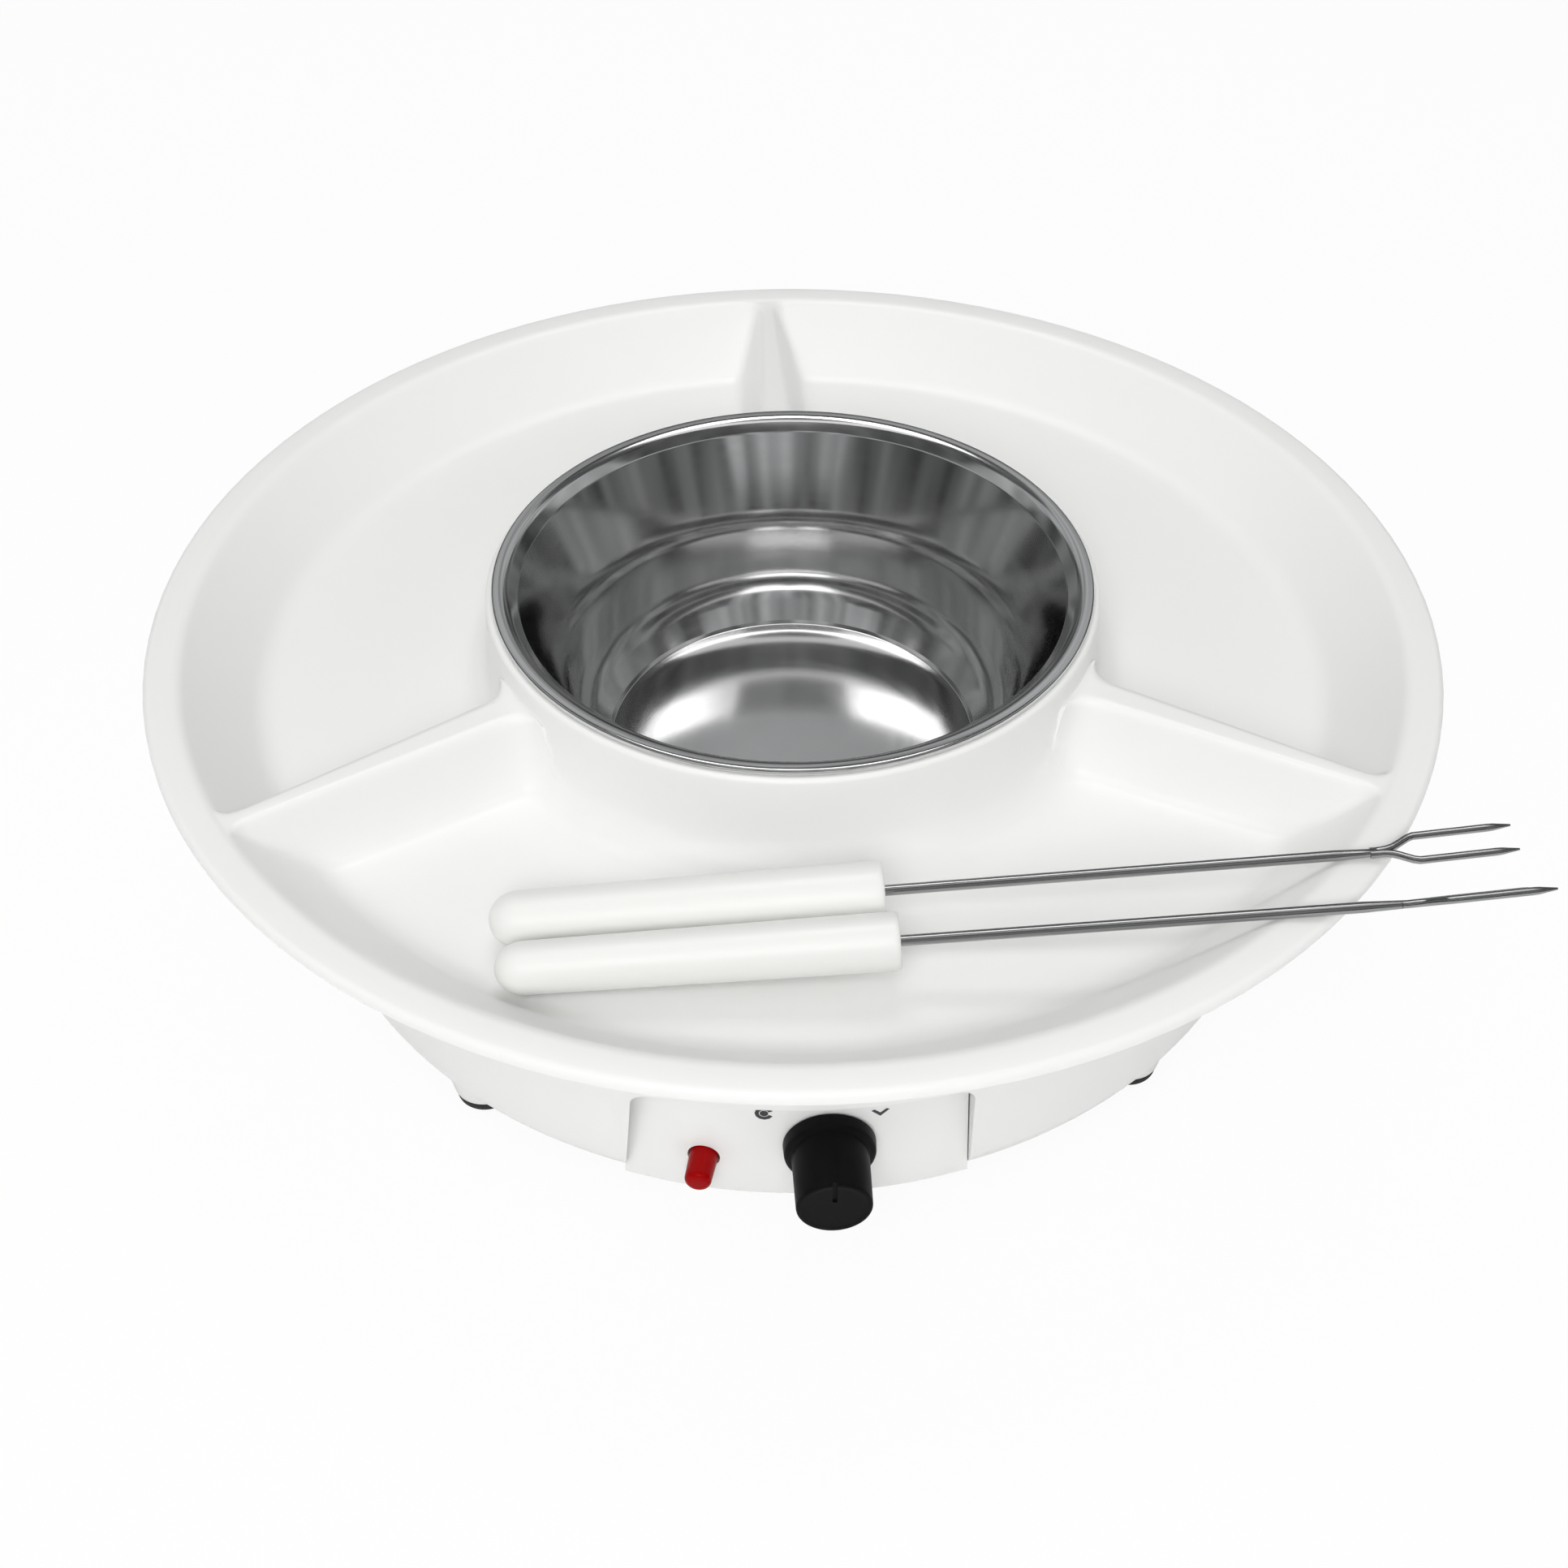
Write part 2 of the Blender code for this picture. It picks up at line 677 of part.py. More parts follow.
def panel_outline(grow):
    """Front outline of the control panel as (x, z), grown by a clearance."""
    return rounded([
        (PANEL_LEFT[0] - grow, PANEL_BOTTOM - grow, 0),
        (PANEL_RIGHT[0] + grow, PANEL_BOTTOM - grow, 0),
        (PANEL_RIGHT[1] + grow, PANEL_TOP + grow, PANEL_CORNER + grow),
        (PANEL_LEFT[1] - grow, PANEL_TOP + grow, PANEL_CORNER + grow),
    ], 4)


def curved_block(name, outline, inner, outer):
    """Part of a ring between two radii, with this outline seen from the front."""
    block = prism(name, outline, -outer - 0.01, -inner * 0.6, "xzy")
    heights = [point[1] for point in outline]
    return combine(block, ring("ring", inner, outer, min(heights) - 0.001, max(heights) + 0.001, 96),
                   "INTERSECT")


def panel_pocket():
    """Space for the panel, open at the front and below."""
    outline = panel_outline(GAP)
    lowest = HOUSING_BOTTOM - 0.002
    outline = [(x, lowest if z < PANEL_BOTTOM else z) for x, z in outline]
    return curved_block("pocket", outline, SEAT_FRONT, TRAY_RADIUS)


def seat_window():
    """Opening behind the panel, smaller by the seat's width."""
    return prism("window", panel_outline(-SEAT_WIDTH), -TRAY_RADIUS, -SEAT_BACK * 0.8, "xzy")


def housing_leg(place):
    """Hollow leg that grows out of the lower wall and holds a foot's stem."""
    bore = FOOT_STEM_RADIUS + GAP
    corners = [
        (bore, LEG_BOTTOM, 0),
        (LEG_RADIUS, LEG_BOTTOM, 0.0006),
        (LEG_TOP_RADIUS, HOUSING_BOTTOM + LEG_RISE, 0),
        (bore, HOUSING_BOTTOM + LEG_RISE, 0),
    ]
    leg = turned("leg", rounded(corners, 1), FACETS_SMALL)
    leg.location = place
    inside = HOUSING_FOOT_RADIUS - HOUSING_WALL - GAP
    return combine(leg, disc("inside", inside, FOOT_TOP, BOSS_TOP, FACETS_LARGE))


def make_housing(parent):
    cavity = housing_cavity()
    seat = curved_block("seat", panel_outline(SEAT_WIDTH), SEAT_BACK, TRAY_RADIUS)
    combine(cavity, seat)
    for degrees in spaced(4, 45.0):
        centre = around(FOOT_CIRCLE, degrees)
        boss = disc("boss", BOSS_RADIUS, BOSS_BOTTOM, BOSS_TOP, FACETS_SMALL)
        boss.location = centre
        combine(cavity, boss)
        web = box("web", (-BOSS_WEB / 2, 0, BOSS_BOTTOM), (BOSS_WEB / 2, -2 * BOSS_RADIUS - 0.005, BOSS_TOP))
        web.location = centre
        web.rotation_euler.z = radians(degrees)
        combine(cavity, web)
    housing = combine(housing_body(), cavity)
    combine(housing, panel_pocket())
    combine(housing, seat_window())
    for place in foot_places(0.0):
        combine(housing, housing_leg(place), "UNION")
    for degrees in spaced(4, 45.0):
        hole = disc("hole", BOSS_HOLE_RADIUS, HOUSING_BOTTOM - 0.001, BOSS_TOP - 0.003, FACETS_HOLE)
        hole.location = around(FOOT_CIRCLE, degrees)
        combine(housing, hole)
    for place in deck_screw_places():
        tip = DECK_TOP - DECK_SCREW_LENGTH
        hole = disc("hole", BOSS_HOLE_RADIUS, tip - SLIP, LEDGE_TOP + 0.001, FACETS_HOLE)
        hole.location = place
        combine(housing, hole)
    bore = disc("bore", GLAND_NECK_RADIUS + GAP, *HOLE_TOOL)
    bore.rotation_euler.x = -pi / 2
    bore.location.z = GLAND_HEIGHT
    combine(housing, bore)
    weld(housing)
    return finished(housing, "white_plastic", WHITE, parent)


# Bottom cover, feet and their screws

def make_cover(parent):
    radius = min(HOUSING_FOOT_RADIUS - HOUSING_WALL, SEAT_BACK) - SLIP
    cover = disc("bottom_cover", radius, COVER_BOTTOM, COVER_TOP, FACETS_LARGE)
    half_width = VENT_WIDTH / 2
    inner = VENT_CIRCLE - VENT_LENGTH / 2
    outer = VENT_CIRCLE + VENT_LENGTH / 2
    for degrees in spaced(VENT_SLOTS, 180.0 / VENT_SLOTS):
        corners = [(-half_width, -inner, half_width), (half_width, -inner, half_width),
                   (half_width, -outer, half_width), (-half_width, -outer, half_width)]
        slot = prism("slot", rounded(corners, 1), COVER_BOTTOM - 0.001, COVER_TOP + 0.001)
        slot.rotation_euler.z = radians(degrees)
        combine(cover, slot)
    for degrees in spaced(4, 45.0):
        hole = disc("hole", FOOT_HOLE_RADIUS, COVER_BOTTOM - 0.001, COVER_TOP + 0.001, FACETS_HOLE)
        hole.location = around(FOOT_CIRCLE, degrees)
        combine(cover, hole)
    return finished(cover, "white_plastic", WHITE, parent)


def make_feet(parent):
    recess_top = FOOT_RECESS_DEPTH
    corners = [
        (FOOT_HOLE_RADIUS, FOOT_TOP, 0),
        (FOOT_HOLE_RADIUS, recess_top, 0),
        (FOOT_RECESS_RADIUS, recess_top, 0),
        (FOOT_RECESS_RADIUS, 0, 0),
        (FOOT_RADIUS - 0.0004, 0, 0.0009),
        (FOOT_RADIUS, LEG_BOTTOM - GAP, 0),
        (FOOT_STEM_RADIUS, LEG_BOTTOM - GAP, 0),
        (FOOT_STEM_RADIUS, FOOT_TOP, 0),
    ]
    foot = turned("foot", rounded(corners, 1), FACETS_SMALL)
    repeated(foot, "foot", foot_places(0.0), "rubber", RUBBER, parent)
    screw = screw_shape(COVER_SCREW_LENGTH)
    repeated(screw, "cover_screw", foot_places(recess_top - GAP), "zinc", ZINC, parent)


def foot_places(height):
    return [around(FOOT_CIRCLE, degrees, height) for degrees in spaced(4, 45.0)]


def screw_shape(length):
    """Screw that points up, with the face under its head at its origin."""
    corners = [
        (0, -SCREW_HEAD_HEIGHT, 0),
        (SCREW_HEAD_RADIUS, -SCREW_HEAD_HEIGHT, SCREW_HEAD_HEIGHT * 0.5),
        (SCREW_HEAD_RADIUS, 0, 0),
        (SCREW_RADIUS, 0, 0),
        (SCREW_RADIUS, length, 0),
        (0, length, 0),
    ]
    return turned("screw", rounded(corners, 1), FACETS_HOLE)


# Deck and heat shield

def deck_screw_places(height=0.0):
    radius = housing_radius(LEDGE_TOP) - HOUSING_WALL - LEDGE_DEPTH / 2
    return [around(radius, degrees, height) for degrees in spaced(DECK_SCREWS, 30.0)]


def make_deck(parent):
    outer = housing_radius(DECK_BOTTOM) - HOUSING_WALL - SLIP
    deck = ring("deck", DECK_HOLE_RADIUS, outer, DECK_BOTTOM, DECK_TOP)
    for place in deck_screw_places():
        hole = disc("hole", SCREW_RADIUS + GAP, DECK_BOTTOM - 0.001, DECK_TOP + 0.001, FACETS_HOLE)
        hole.location = place
        combine(deck, hole)
    screw = screw_shape(DECK_SCREW_LENGTH)
    screw.rotation_euler.x = pi
    repeated(screw, "deck_screw", deck_screw_places(DECK_TOP + GAP), "zinc", ZINC, parent)
    return finished(deck, "cream_plastic", CREAM, parent)


def make_shield(parent):
    lip = DECK_TOP + GAP
    line = rounded([
        (SHIELD_WIRE_HOLE, SHIELD_FLOOR, 0),
        (SHIELD_RADIUS - SHIELD_TAPER, SHIELD_FLOOR, 0.005),
        (SHIELD_RADIUS, lip + SHIELD_WALL, 0.0014),
        (SHIELD_LIP_RADIUS, lip + SHIELD_WALL, 0),
    ], 2)
    shield = turned("heat_shield", thickened(line, SHIELD_WALL), FACETS_MEDIUM)
    for place in post_places(0.0):
        hole = disc("hole", SCREW_RADIUS + GAP, SHIELD_FLOOR - 0.003, SHIELD_FLOOR + 0.003, FACETS_HOLE)
        hole.location = place
        combine(shield, hole)
    screw = screw_shape(POST_SCREW_LENGTH)
    repeated(screw, "post_screw", post_places(SHIELD_FLOOR - SHIELD_WALL - GAP), "zinc", ZINC, parent)
    return finished(shield, "aluminium", ALUMINIUM, parent)


def post_places(height):
    return [around(POST_CIRCLE, degrees, height) for degrees in spaced(POSTS, FIRST_POST_DEGREES)]


# Heater

def make_heater(parent):
    plate = disc("heater_plate", PLATE_RADIUS, PLATE_BOTTOM, PLATE_TOP, FACETS_MEDIUM, 0.0006)
    finished(plate, "aluminium", ALUMINIUM, parent)
    bottom = SHIELD_FLOOR + GAP
    top = PLATE_BOTTOM - GAP
    post = disc("post", POST_RADIUS, bottom, top, FACETS_HOLE)
    combine(post, disc("hole", SCREW_RADIUS + GAP, bottom - 0.001,
                       bottom + POST_SCREW_LENGTH + 0.001, FACETS_HOLE))
    repeated(post, "heater_post", post_places(0.0), "zinc", ZINC, parent)
    make_element(parent, top)
    make_cutout(parent, top)


def element_legs():
    """Lower ends of the element's two legs."""
    height = PLATE_BOTTOM - GAP - ELEMENT_TUBE - ELEMENT_LEG
    half = ELEMENT_GAP_DEGREES / 2
    return [around(ELEMENT_RADIUS, degrees, height) for degrees in (-half, half)]


def make_element(parent, top):
    """Tubular heater: most of a circle under the plate, with both ends turned down."""
    height = top - ELEMENT_TUBE
    half = ELEMENT_GAP_DEGREES / 2
    bend = 8.0
    turns = 18
    span = (360.0 - 2 * (half + bend)) / turns
    path = [element_legs()[1]]
    path.append(around(ELEMENT_RADIUS, half + bend * 0.1, height - ELEMENT_LEG * 0.5))
    path.append(around(ELEMENT_RADIUS, half + bend * 0.5, height - ELEMENT_LEG * 0.12))
    path += [around(ELEMENT_RADIUS, half + bend + span * step, height) for step in range(turns + 1)]
    path.append(around(ELEMENT_RADIUS, -half - bend * 0.5, height - ELEMENT_LEG * 0.12))
    path.append(around(ELEMENT_RADIUS, -half - bend * 0.1, height - ELEMENT_LEG * 0.5))
    path.append(element_legs()[0])
    element = tube("heating_element", path, [ELEMENT_TUBE] * len(path), 8)
    finished(element, "zinc", ZINC, parent)


def make_cutout(parent, top):
    """Temperature limiter under the plate, in its sheet-metal clip."""
    cutout = disc("thermal_cutout", CUTOUT_RADIUS, top - CUTOUT_HEIGHT, top)
    half = CUTOUT_TAB_WIDTH / 2
    middle = top - CUTOUT_HEIGHT / 2
    reach = CUTOUT_RADIUS + CUTOUT_TAB_LENGTH
    tabs = box("tabs", (-half, -reach, middle - 0.0004), (half, reach, middle + 0.0004))
    combine(cutout, tabs, "UNION")
    finished(cutout, "black_plastic", BLACK, parent)
    seat = top - CUTOUT_HEIGHT - GAP
    leg = CUTOUT_RADIUS + SLIP
    line = [Vector(p) for p in (
        (-CLIP_HALF_SPAN, top - CLIP_THICKNESS),
        (-leg - CLIP_THICKNESS, top - CLIP_THICKNESS),
        (-leg - CLIP_THICKNESS, seat - CLIP_THICKNESS),
        (leg + CLIP_THICKNESS, seat - CLIP_THICKNESS),
        (leg + CLIP_THICKNESS, top - CLIP_THICKNESS),
        (CLIP_HALF_SPAN, top - CLIP_THICKNESS),
    )]
    outline = thickened(line, -CLIP_THICKNESS)
    clip = prism("cutout_clip", outline, -CLIP_WIDTH / 2, CLIP_WIDTH / 2, "xzy")
    finished(clip, "zinc", ZINC, parent, smooth=False)


# Control panel and what it carries

def make_panel(parent):
    panel = curved_block("control_panel", panel_outline(0), PANEL_BACK, PANEL_RADIUS)
    knob_hole = disc("hole", BUSH_RADIUS + GAP, *HOLE_TOOL)
    knob_hole.rotation_euler.x = pi / 2
    knob_hole.location = (KNOB_X, 0, KNOB_HEIGHT)
    combine(panel, knob_hole)
    lens_hole = disc("hole", LENS_RADIUS + GAP, *HOLE_TOOL)
    lens_hole.matrix_world = lamp_axis()
    combine(panel, lens_hole)
    for line, side in ((PANEL_LEFT, -1), (PANEL_RIGHT, 1)):
        for height in (PANEL_BOTTOM + HOOK_INSET, PANEL_TOP - HOOK_INSET):
            share = (height - PANEL_BOTTOM) / (PANEL_TOP - PANEL_BOTTOM)
            edge = line[0] + share * (line[1] - line[0]) - side * SEAT_WIDTH
            combine(panel, snap_hook(edge, side, height), "UNION")
    return finished(panel, "white_plastic", WHITE, parent)


def snap_hook(edge, side, height):
    """Hook on the panel's back that grips the seat from behind."""
    outer = edge - side * SLIP
    inner = outer - side * HOOK_THICKNESS
    tip = outer + side * HOOK_BARB
    front = -sqrt(PANEL_BACK ** 2 - outer ** 2) - 0.0008
    grip = -sqrt(SEAT_BACK ** 2 - tip ** 2) + GAP
    back = grip + HOOK_BARB * 2
    outline = [(inner, front), (outer, front), (outer, grip), (tip, grip), (outer, back), (inner, back)]
    return prism("hook", outline, height - HOOK_WIDTH / 2, height + HOOK_WIDTH / 2)


def make_switch(parent):
    half_x = SWITCH_WIDTH / 2
    half_z = SWITCH_HEIGHT / 2
    corners = [(KNOB_X - half_x, KNOB_HEIGHT - half_z, 0.002), (KNOB_X + half_x, KNOB_HEIGHT - half_z, 0.002),
               (KNOB_X + half_x, KNOB_HEIGHT + half_z, 0.002), (KNOB_X - half_x, KNOB_HEIGHT + half_z, 0.002)]
    back = SWITCH_FRONT + SWITCH_DEPTH
    switch = prism("rotary_switch", rounded(corners, 2), SWITCH_FRONT, back, "xzy")
    bush_end = -PANEL_RADIUS - BUSH_REACH
    bush = disc("bush", BUSH_RADIUS, -SWITCH_FRONT - 0.002, -bush_end)
    bush.rotation_euler.x = pi / 2
    bush.location = (KNOB_X, 0, KNOB_HEIGHT)
    combine(switch, bush, "UNION")
    for centre in (KNOB_X - SWITCH_BLADE_OFFSET, KNOB_X + SWITCH_BLADE_OFFSET):
        half = SWITCH_BLADE[0] / 2
        blade = box("blade", (centre - half, back - 0.001, KNOB_HEIGHT - SWITCH_BLADE[1] / 2),
                    (centre + half, back + SWITCH_BLADE[2], KNOB_HEIGHT + SWITCH_BLADE[1] / 2))
        combine(switch, blade, "UNION")
    bore = disc("bore", SHAFT_RADIUS + GAP, SWITCH_END_WALL - back, HOLE_TOOL[1])
    bore.rotation_euler.x = pi / 2
    bore.location = (KNOB_X, 0, KNOB_HEIGHT)
    combine(switch, bore)
    finished(switch, "black_plastic", BLACK, parent)
    nut = disc("switch_nut", NUT_ACROSS_CORNERS / 2, 0, NUT_THICKNESS, 6)
    combine(nut, disc("hole", BUSH_RADIUS + GAP, -0.001, NUT_THICKNESS + 0.001))
    nut.rotation_euler.x = pi / 2
    nut.location = (KNOB_X, -PANEL_RADIUS - GAP, KNOB_HEIGHT)
    finished(nut, "brass", BRASS, parent, smooth=False)


def lamp_axis():
    """Placement whose +Z runs outward through the lamp."""
    turn = Matrix.Rotation(radians(LAMP_DEGREES), 4, "Z") @ Matrix.Rotation(pi / 2, 4, "X")
    return Matrix.Translation((0, 0, LAMP_HEIGHT)) @ turn


def make_lamp(parent):
    flange_front = PANEL_BACK * cos(pi / 96) - LENS_FLANGE_RADIUS ** 2 / PANEL_BACK - GAP
    flange_back = flange_front - LENS_FLANGE_THICKNESS
    tip = PANEL_RADIUS + LENS_REACH
    corners = [
        (0, flange_back, 0),
        (LENS_FLANGE_RADIUS, flange_back, 0),
        (LENS_FLANGE_RADIUS, flange_front, 0),
        (LENS_RADIUS, flange_front, 0),
        (LENS_TIP_RADIUS, tip, LENS_TIP_RADIUS * 0.75),
        (0, tip, 0),
    ]
    lens = turned("indicator_lens", rounded(corners, 4), FACETS_SMALL)
    lens.matrix_world = lamp_axis()
    finished(lens, "red_lens", RED, parent)
    holder = disc("lamp_holder", LENS_FLANGE_RADIUS, flange_back - GAP - LAMP_HOLDER_LENGTH,
                  flange_back - GAP)
    holder.matrix_world = lamp_axis()
    finished(holder, "cream_plastic", CREAM, parent)


def d_section(name, radius, flat, low, high):
    """Round bar with a flat along it, at this distance from the axis."""
    bar = disc(name, radius, low, high)
    far = radius * 2
    return combine(bar, box("flat", (-far, flat, low - 0.001), (far, far, high + 0.001)))


def make_knob(knob_group):
    """Knob and shaft, in the frame of the knob's group: +Z points out of the panel."""
    corners = [
        (0, 0, 0),
        (KNOB_FLANGE_RADIUS, 0, 0.0004),
        (KNOB_FLANGE_RADIUS - 0.0002, KNOB_FLANGE_THICKNESS, 0.0012),
        (KNOB_BARREL_RADIUS, KNOB_FLANGE_THICKNESS + 0.0004, 0.0004),
        (KNOB_END_RADIUS, KNOB_LENGTH, 0.0012),
        (0, KNOB_LENGTH, 0),
    ]
    knob = turned("knob", rounded(corners, 2), FACETS_MEDIUM)
    recess = disc("recess", KNOB_RECESS_RADIUS, -0.001, KNOB_RECESS_DEPTH)
    recess.rotation_euler.z = radians(5)
    combine(knob, recess)
    depth = KNOB_RECESS_DEPTH + SHAFT_INSIDE_KNOB
    combine(knob, d_section("bore", SHAFT_RADIUS + GAP, SHAFT_FLAT + GAP, KNOB_RECESS_DEPTH - 0.001, depth + GAP))
    half = KNOB_MARK_WIDTH / 2
    combine(knob, box("mark", (-half, 0.002, KNOB_LENGTH - KNOB_MARK_DEPTH),
                      (half, KNOB_END_RADIUS + 0.001, KNOB_LENGTH + 0.001)))
    finished(knob, "black_plastic", BLACK, knob_group)
    inner_end = KNOB_BACK - (SWITCH_FRONT + SWITCH_DEPTH - SWITCH_END_WALL - GAP)
    shaft = d_section("switch_shaft", SHAFT_RADIUS, SHAFT_FLAT, inner_end, depth)
    finished(shaft, "zinc", ZINC, knob_group)


# Supply entry and inner leads

def make_gland(parent):
    """Rubber bush in the back wall, with a groove that grips the wall."""
    wall = housing_radius(GLAND_HEIGHT)
    rise = housing_radius(GLAND_HEIGHT + GLAND_FLANGE_RADIUS) - wall
    outer_face = wall + rise + GAP
    inner_face = wall - HOUSING_WALL - rise - GLAND_FLANGE_RADIUS ** 2 / wall - GAP
    corners = [
        (GLAND_HOLE_RADIUS, inner_face - GLAND_FLANGE_THICKNESS, 0),
        (GLAND_FLANGE_RADIUS, inner_face - GLAND_FLANGE_THICKNESS, 0.0008),
        (GLAND_FLANGE_RADIUS, inner_face, 0),
        (GLAND_NECK_RADIUS, inner_face, 0),
        (GLAND_NECK_RADIUS, outer_face, 0),
        (GLAND_FLANGE_RADIUS, outer_face, 0),
        (GLAND_FLANGE_RADIUS, outer_face + GLAND_FLANGE_THICKNESS, 0.0010),
        (GLAND_HOLE_RADIUS, outer_face + GLAND_FLANGE_THICKNESS, 0.0008),
    ]
    gland = turned("cord_grommet", rounded(corners, 1), FACETS_SMALL)
    gland.rotation_euler.x = -pi / 2
    gland.location.z = GLAND_HEIGHT
    finished(gland, "rubber", RUBBER, parent)


def block_holes():
    """Centres of the terminal block's holes along X."""
    return [BLOCK_SIZE[0] * share for share in (-0.3, 0.0, 0.3)]


def make_block(parent):
    bottom = COVER_TOP + GAP
    half_x = BLOCK_SIZE[0] / 2
    half_y = BLOCK_SIZE[1] / 2
    block = box("terminal_block", (-half_x, BLOCK_Y - half_y, bottom),
                (half_x, BLOCK_Y + half_y, bottom + BLOCK_SIZE[2]))
    for x in block_holes():
        for face, way in ((BLOCK_Y - half_y, 1), (BLOCK_Y + half_y, -1)):
            hole = disc("hole", BLOCK_HOLE_RADIUS, -0.001, BLOCK_HOLE_DEPTH, FACETS_HOLE)
            hole.rotation_euler.x = -way * pi / 2
            hole.location = (x, face, LEAD_HEIGHT)
            combine(block, hole)
    finished(block, "cream_plastic", CREAM, parent, smooth=False)


def make_leads(parent):
    """Wires from the terminal block by the switch and the limiter to the element."""
    block_face = BLOCK_Y - BLOCK_SIZE[1] / 2 + BLOCK_HOLE_DEPTH - GAP
    blade_end = SWITCH_FRONT + SWITCH_DEPTH + SWITCH_BLADE[2] + GAP
    tab = CUTOUT_RADIUS + CUTOUT_TAB_LENGTH + GAP
    tab_height = PLATE_BOTTOM - GAP - CUTOUT_HEIGHT / 2
    left, _, right = block_holes()
    leg_left, leg_right = element_legs()
    under_leg = GAP + LEAD_RADIUS * 0.5
    low = LEAD_HEIGHT
    run = SHIELD_FLOOR + LEAD_RADIUS + SLIP
    bend = LEAD_BEND
    live_x = KNOB_X - SWITCH_BLADE_OFFSET
    switched_x = KNOB_X + SWITCH_BLADE_OFFSET
    under = low + bend * 1.05
    over = run + bend * 0.22
    routes = {
        "lead_live": [
            (left, block_face, low), (left, block_face - bend * 1.7, low),
            (left - bend * 0.1, bend * 3, low - bend * 0.1), (left + bend * 0.1, 0.0, low),
            (left - bend * 0.1, -bend * 4, low), (live_x - bend * 0.2, blade_end + bend * 1.9, low + bend * 0.4),
            (live_x, blade_end + bend * 0.8, KNOB_HEIGHT - bend * 0.1), (live_x, blade_end, KNOB_HEIGHT)],
        "lead_switched": [
            (switched_x, blade_end, KNOB_HEIGHT),
            (switched_x, blade_end + bend * 0.8, KNOB_HEIGHT - bend * 0.1),
            (switched_x + bend * 0.2, blade_end + bend * 2.4, low + bend * 0.4),
            (bend * 0.4, -bend * 3.5, low), (bend * 0.1, -bend * 1.2, low + bend * 0.1),
            (0.0, -bend * 0.35, low + bend * 0.6), (0.0, -bend * 0.35, under),
            (0.0, -bend, run + bend * 0.19), (0.0, -bend * 1.85, over + bend * 0.08),
            (0.0, -tab - bend * 0.36, tab_height), (0.0, -tab, tab_height)],
        "lead_neutral": [
            (right, block_face, low), (right, block_face - bend * 1.7, low),
            (right - bend * 0.3, bend * 3, low), (bend * 0.4, bend, low + bend * 0.1),
            (bend * 0.28, bend * 0.3, low + bend * 0.6), (bend * 0.34, bend * 0.14, under),
            (bend * 0.85, -bend * 0.6, run), (leg_right.x, leg_right.y + bend * 0.8, run),
            (leg_right.x, leg_right.y + bend * 0.1, run + bend * 0.04),
            (leg_right.x, leg_right.y, leg_right.z - under_leg)],
        "lead_link": [
            (0.0, tab, tab_height), (0.0, tab + bend * 0.3, tab_height - bend * 0.02),
            (-bend * 0.6, tab + bend * 0.2, over + bend * 0.08), (-bend * 1.7, bend, run),
            (-bend * 2, -bend * 0.6, run), (leg_left.x - bend * 0.5, leg_left.y + bend * 0.65, run),
            (leg_left.x, leg_left.y + bend * 0.1, run + bend * 0.04),
            (leg_left.x, leg_left.y, leg_left.z - under_leg)],
    }
    for name, points in routes.items():
        route = flowing(points, 2)
        lead = tube(name, route, [LEAD_RADIUS] * len(route), 6)
        finish = ("lead_blue", LEAD_BLUE) if name == "lead_neutral" else ("lead_brown", LEAD_BROWN)
        finished(lead, *finish, parent)


# Forks

def handle_height(roll):
    """Half height of the handle's tail when it is rolled by this many degrees."""
    wide, thin = HANDLE_TAIL
    return hypot(wide * sin(radians(roll)), thin * cos(radians(roll)))


def fork_turn(place, heading, roll):
    """Tail's height and the turn that lays a fork on the floor and over the rim."""
    tail = TRAY_FLOOR + handle_height(roll) + GAP
    over = TRAY_TOP + FORK_WIRE_RADIUS + GAP
    way = Vector((cos(radians(heading)), sin(radians(heading))))
    start = Vector(place)
    crest = TRAY_RADIUS - RIM_WIDTH / 2
    along = start.dot(way)
    reach = -along + sqrt(along ** 2 - start.length_squared + crest ** 2)
    pitch = -atan2(over - tail, reach)
    turn = (Matrix.Rotation(radians(heading), 3, "Z") @ Matrix.Rotation(pitch, 3, "Y")
            @ Matrix.Rotation(radians(roll), 3, "X"))
    return tail, turn


def handle_sections():
    """Oval sections from the rounded tail to the chamfered front end."""
    tail_round = HANDLE_TAIL[0]
    stations = [tail_round * (1 - cos(radians(angle))) for angle in (8, 26, 45, 66, 90)]
    stations += [HANDLE_LENGTH * 0.5, HANDLE_LENGTH - 0.0008, HANDLE_LENGTH]
    sections = []
    for x in stations:
        share = x / HANDLE_LENGTH
        wide = HANDLE_TAIL[0] + (HANDLE_FRONT[0] - HANDLE_TAIL[0]) * share
        thin = HANDLE_TAIL[1] + (HANDLE_FRONT[1] - HANDLE_TAIL[1]) * share
        shrink = 1.0
        if x < tail_round:
            shrink = sqrt(1 - (1 - x / tail_round) ** 2)
        if x == HANDLE_LENGTH:
            shrink = 0.90
        count = 16
        sections.append([Vector((x, wide * shrink * cos(2 * pi * k / count), thin * shrink * sin(2 * pi * k / count)))
                         for k in range(count)])
    return sections


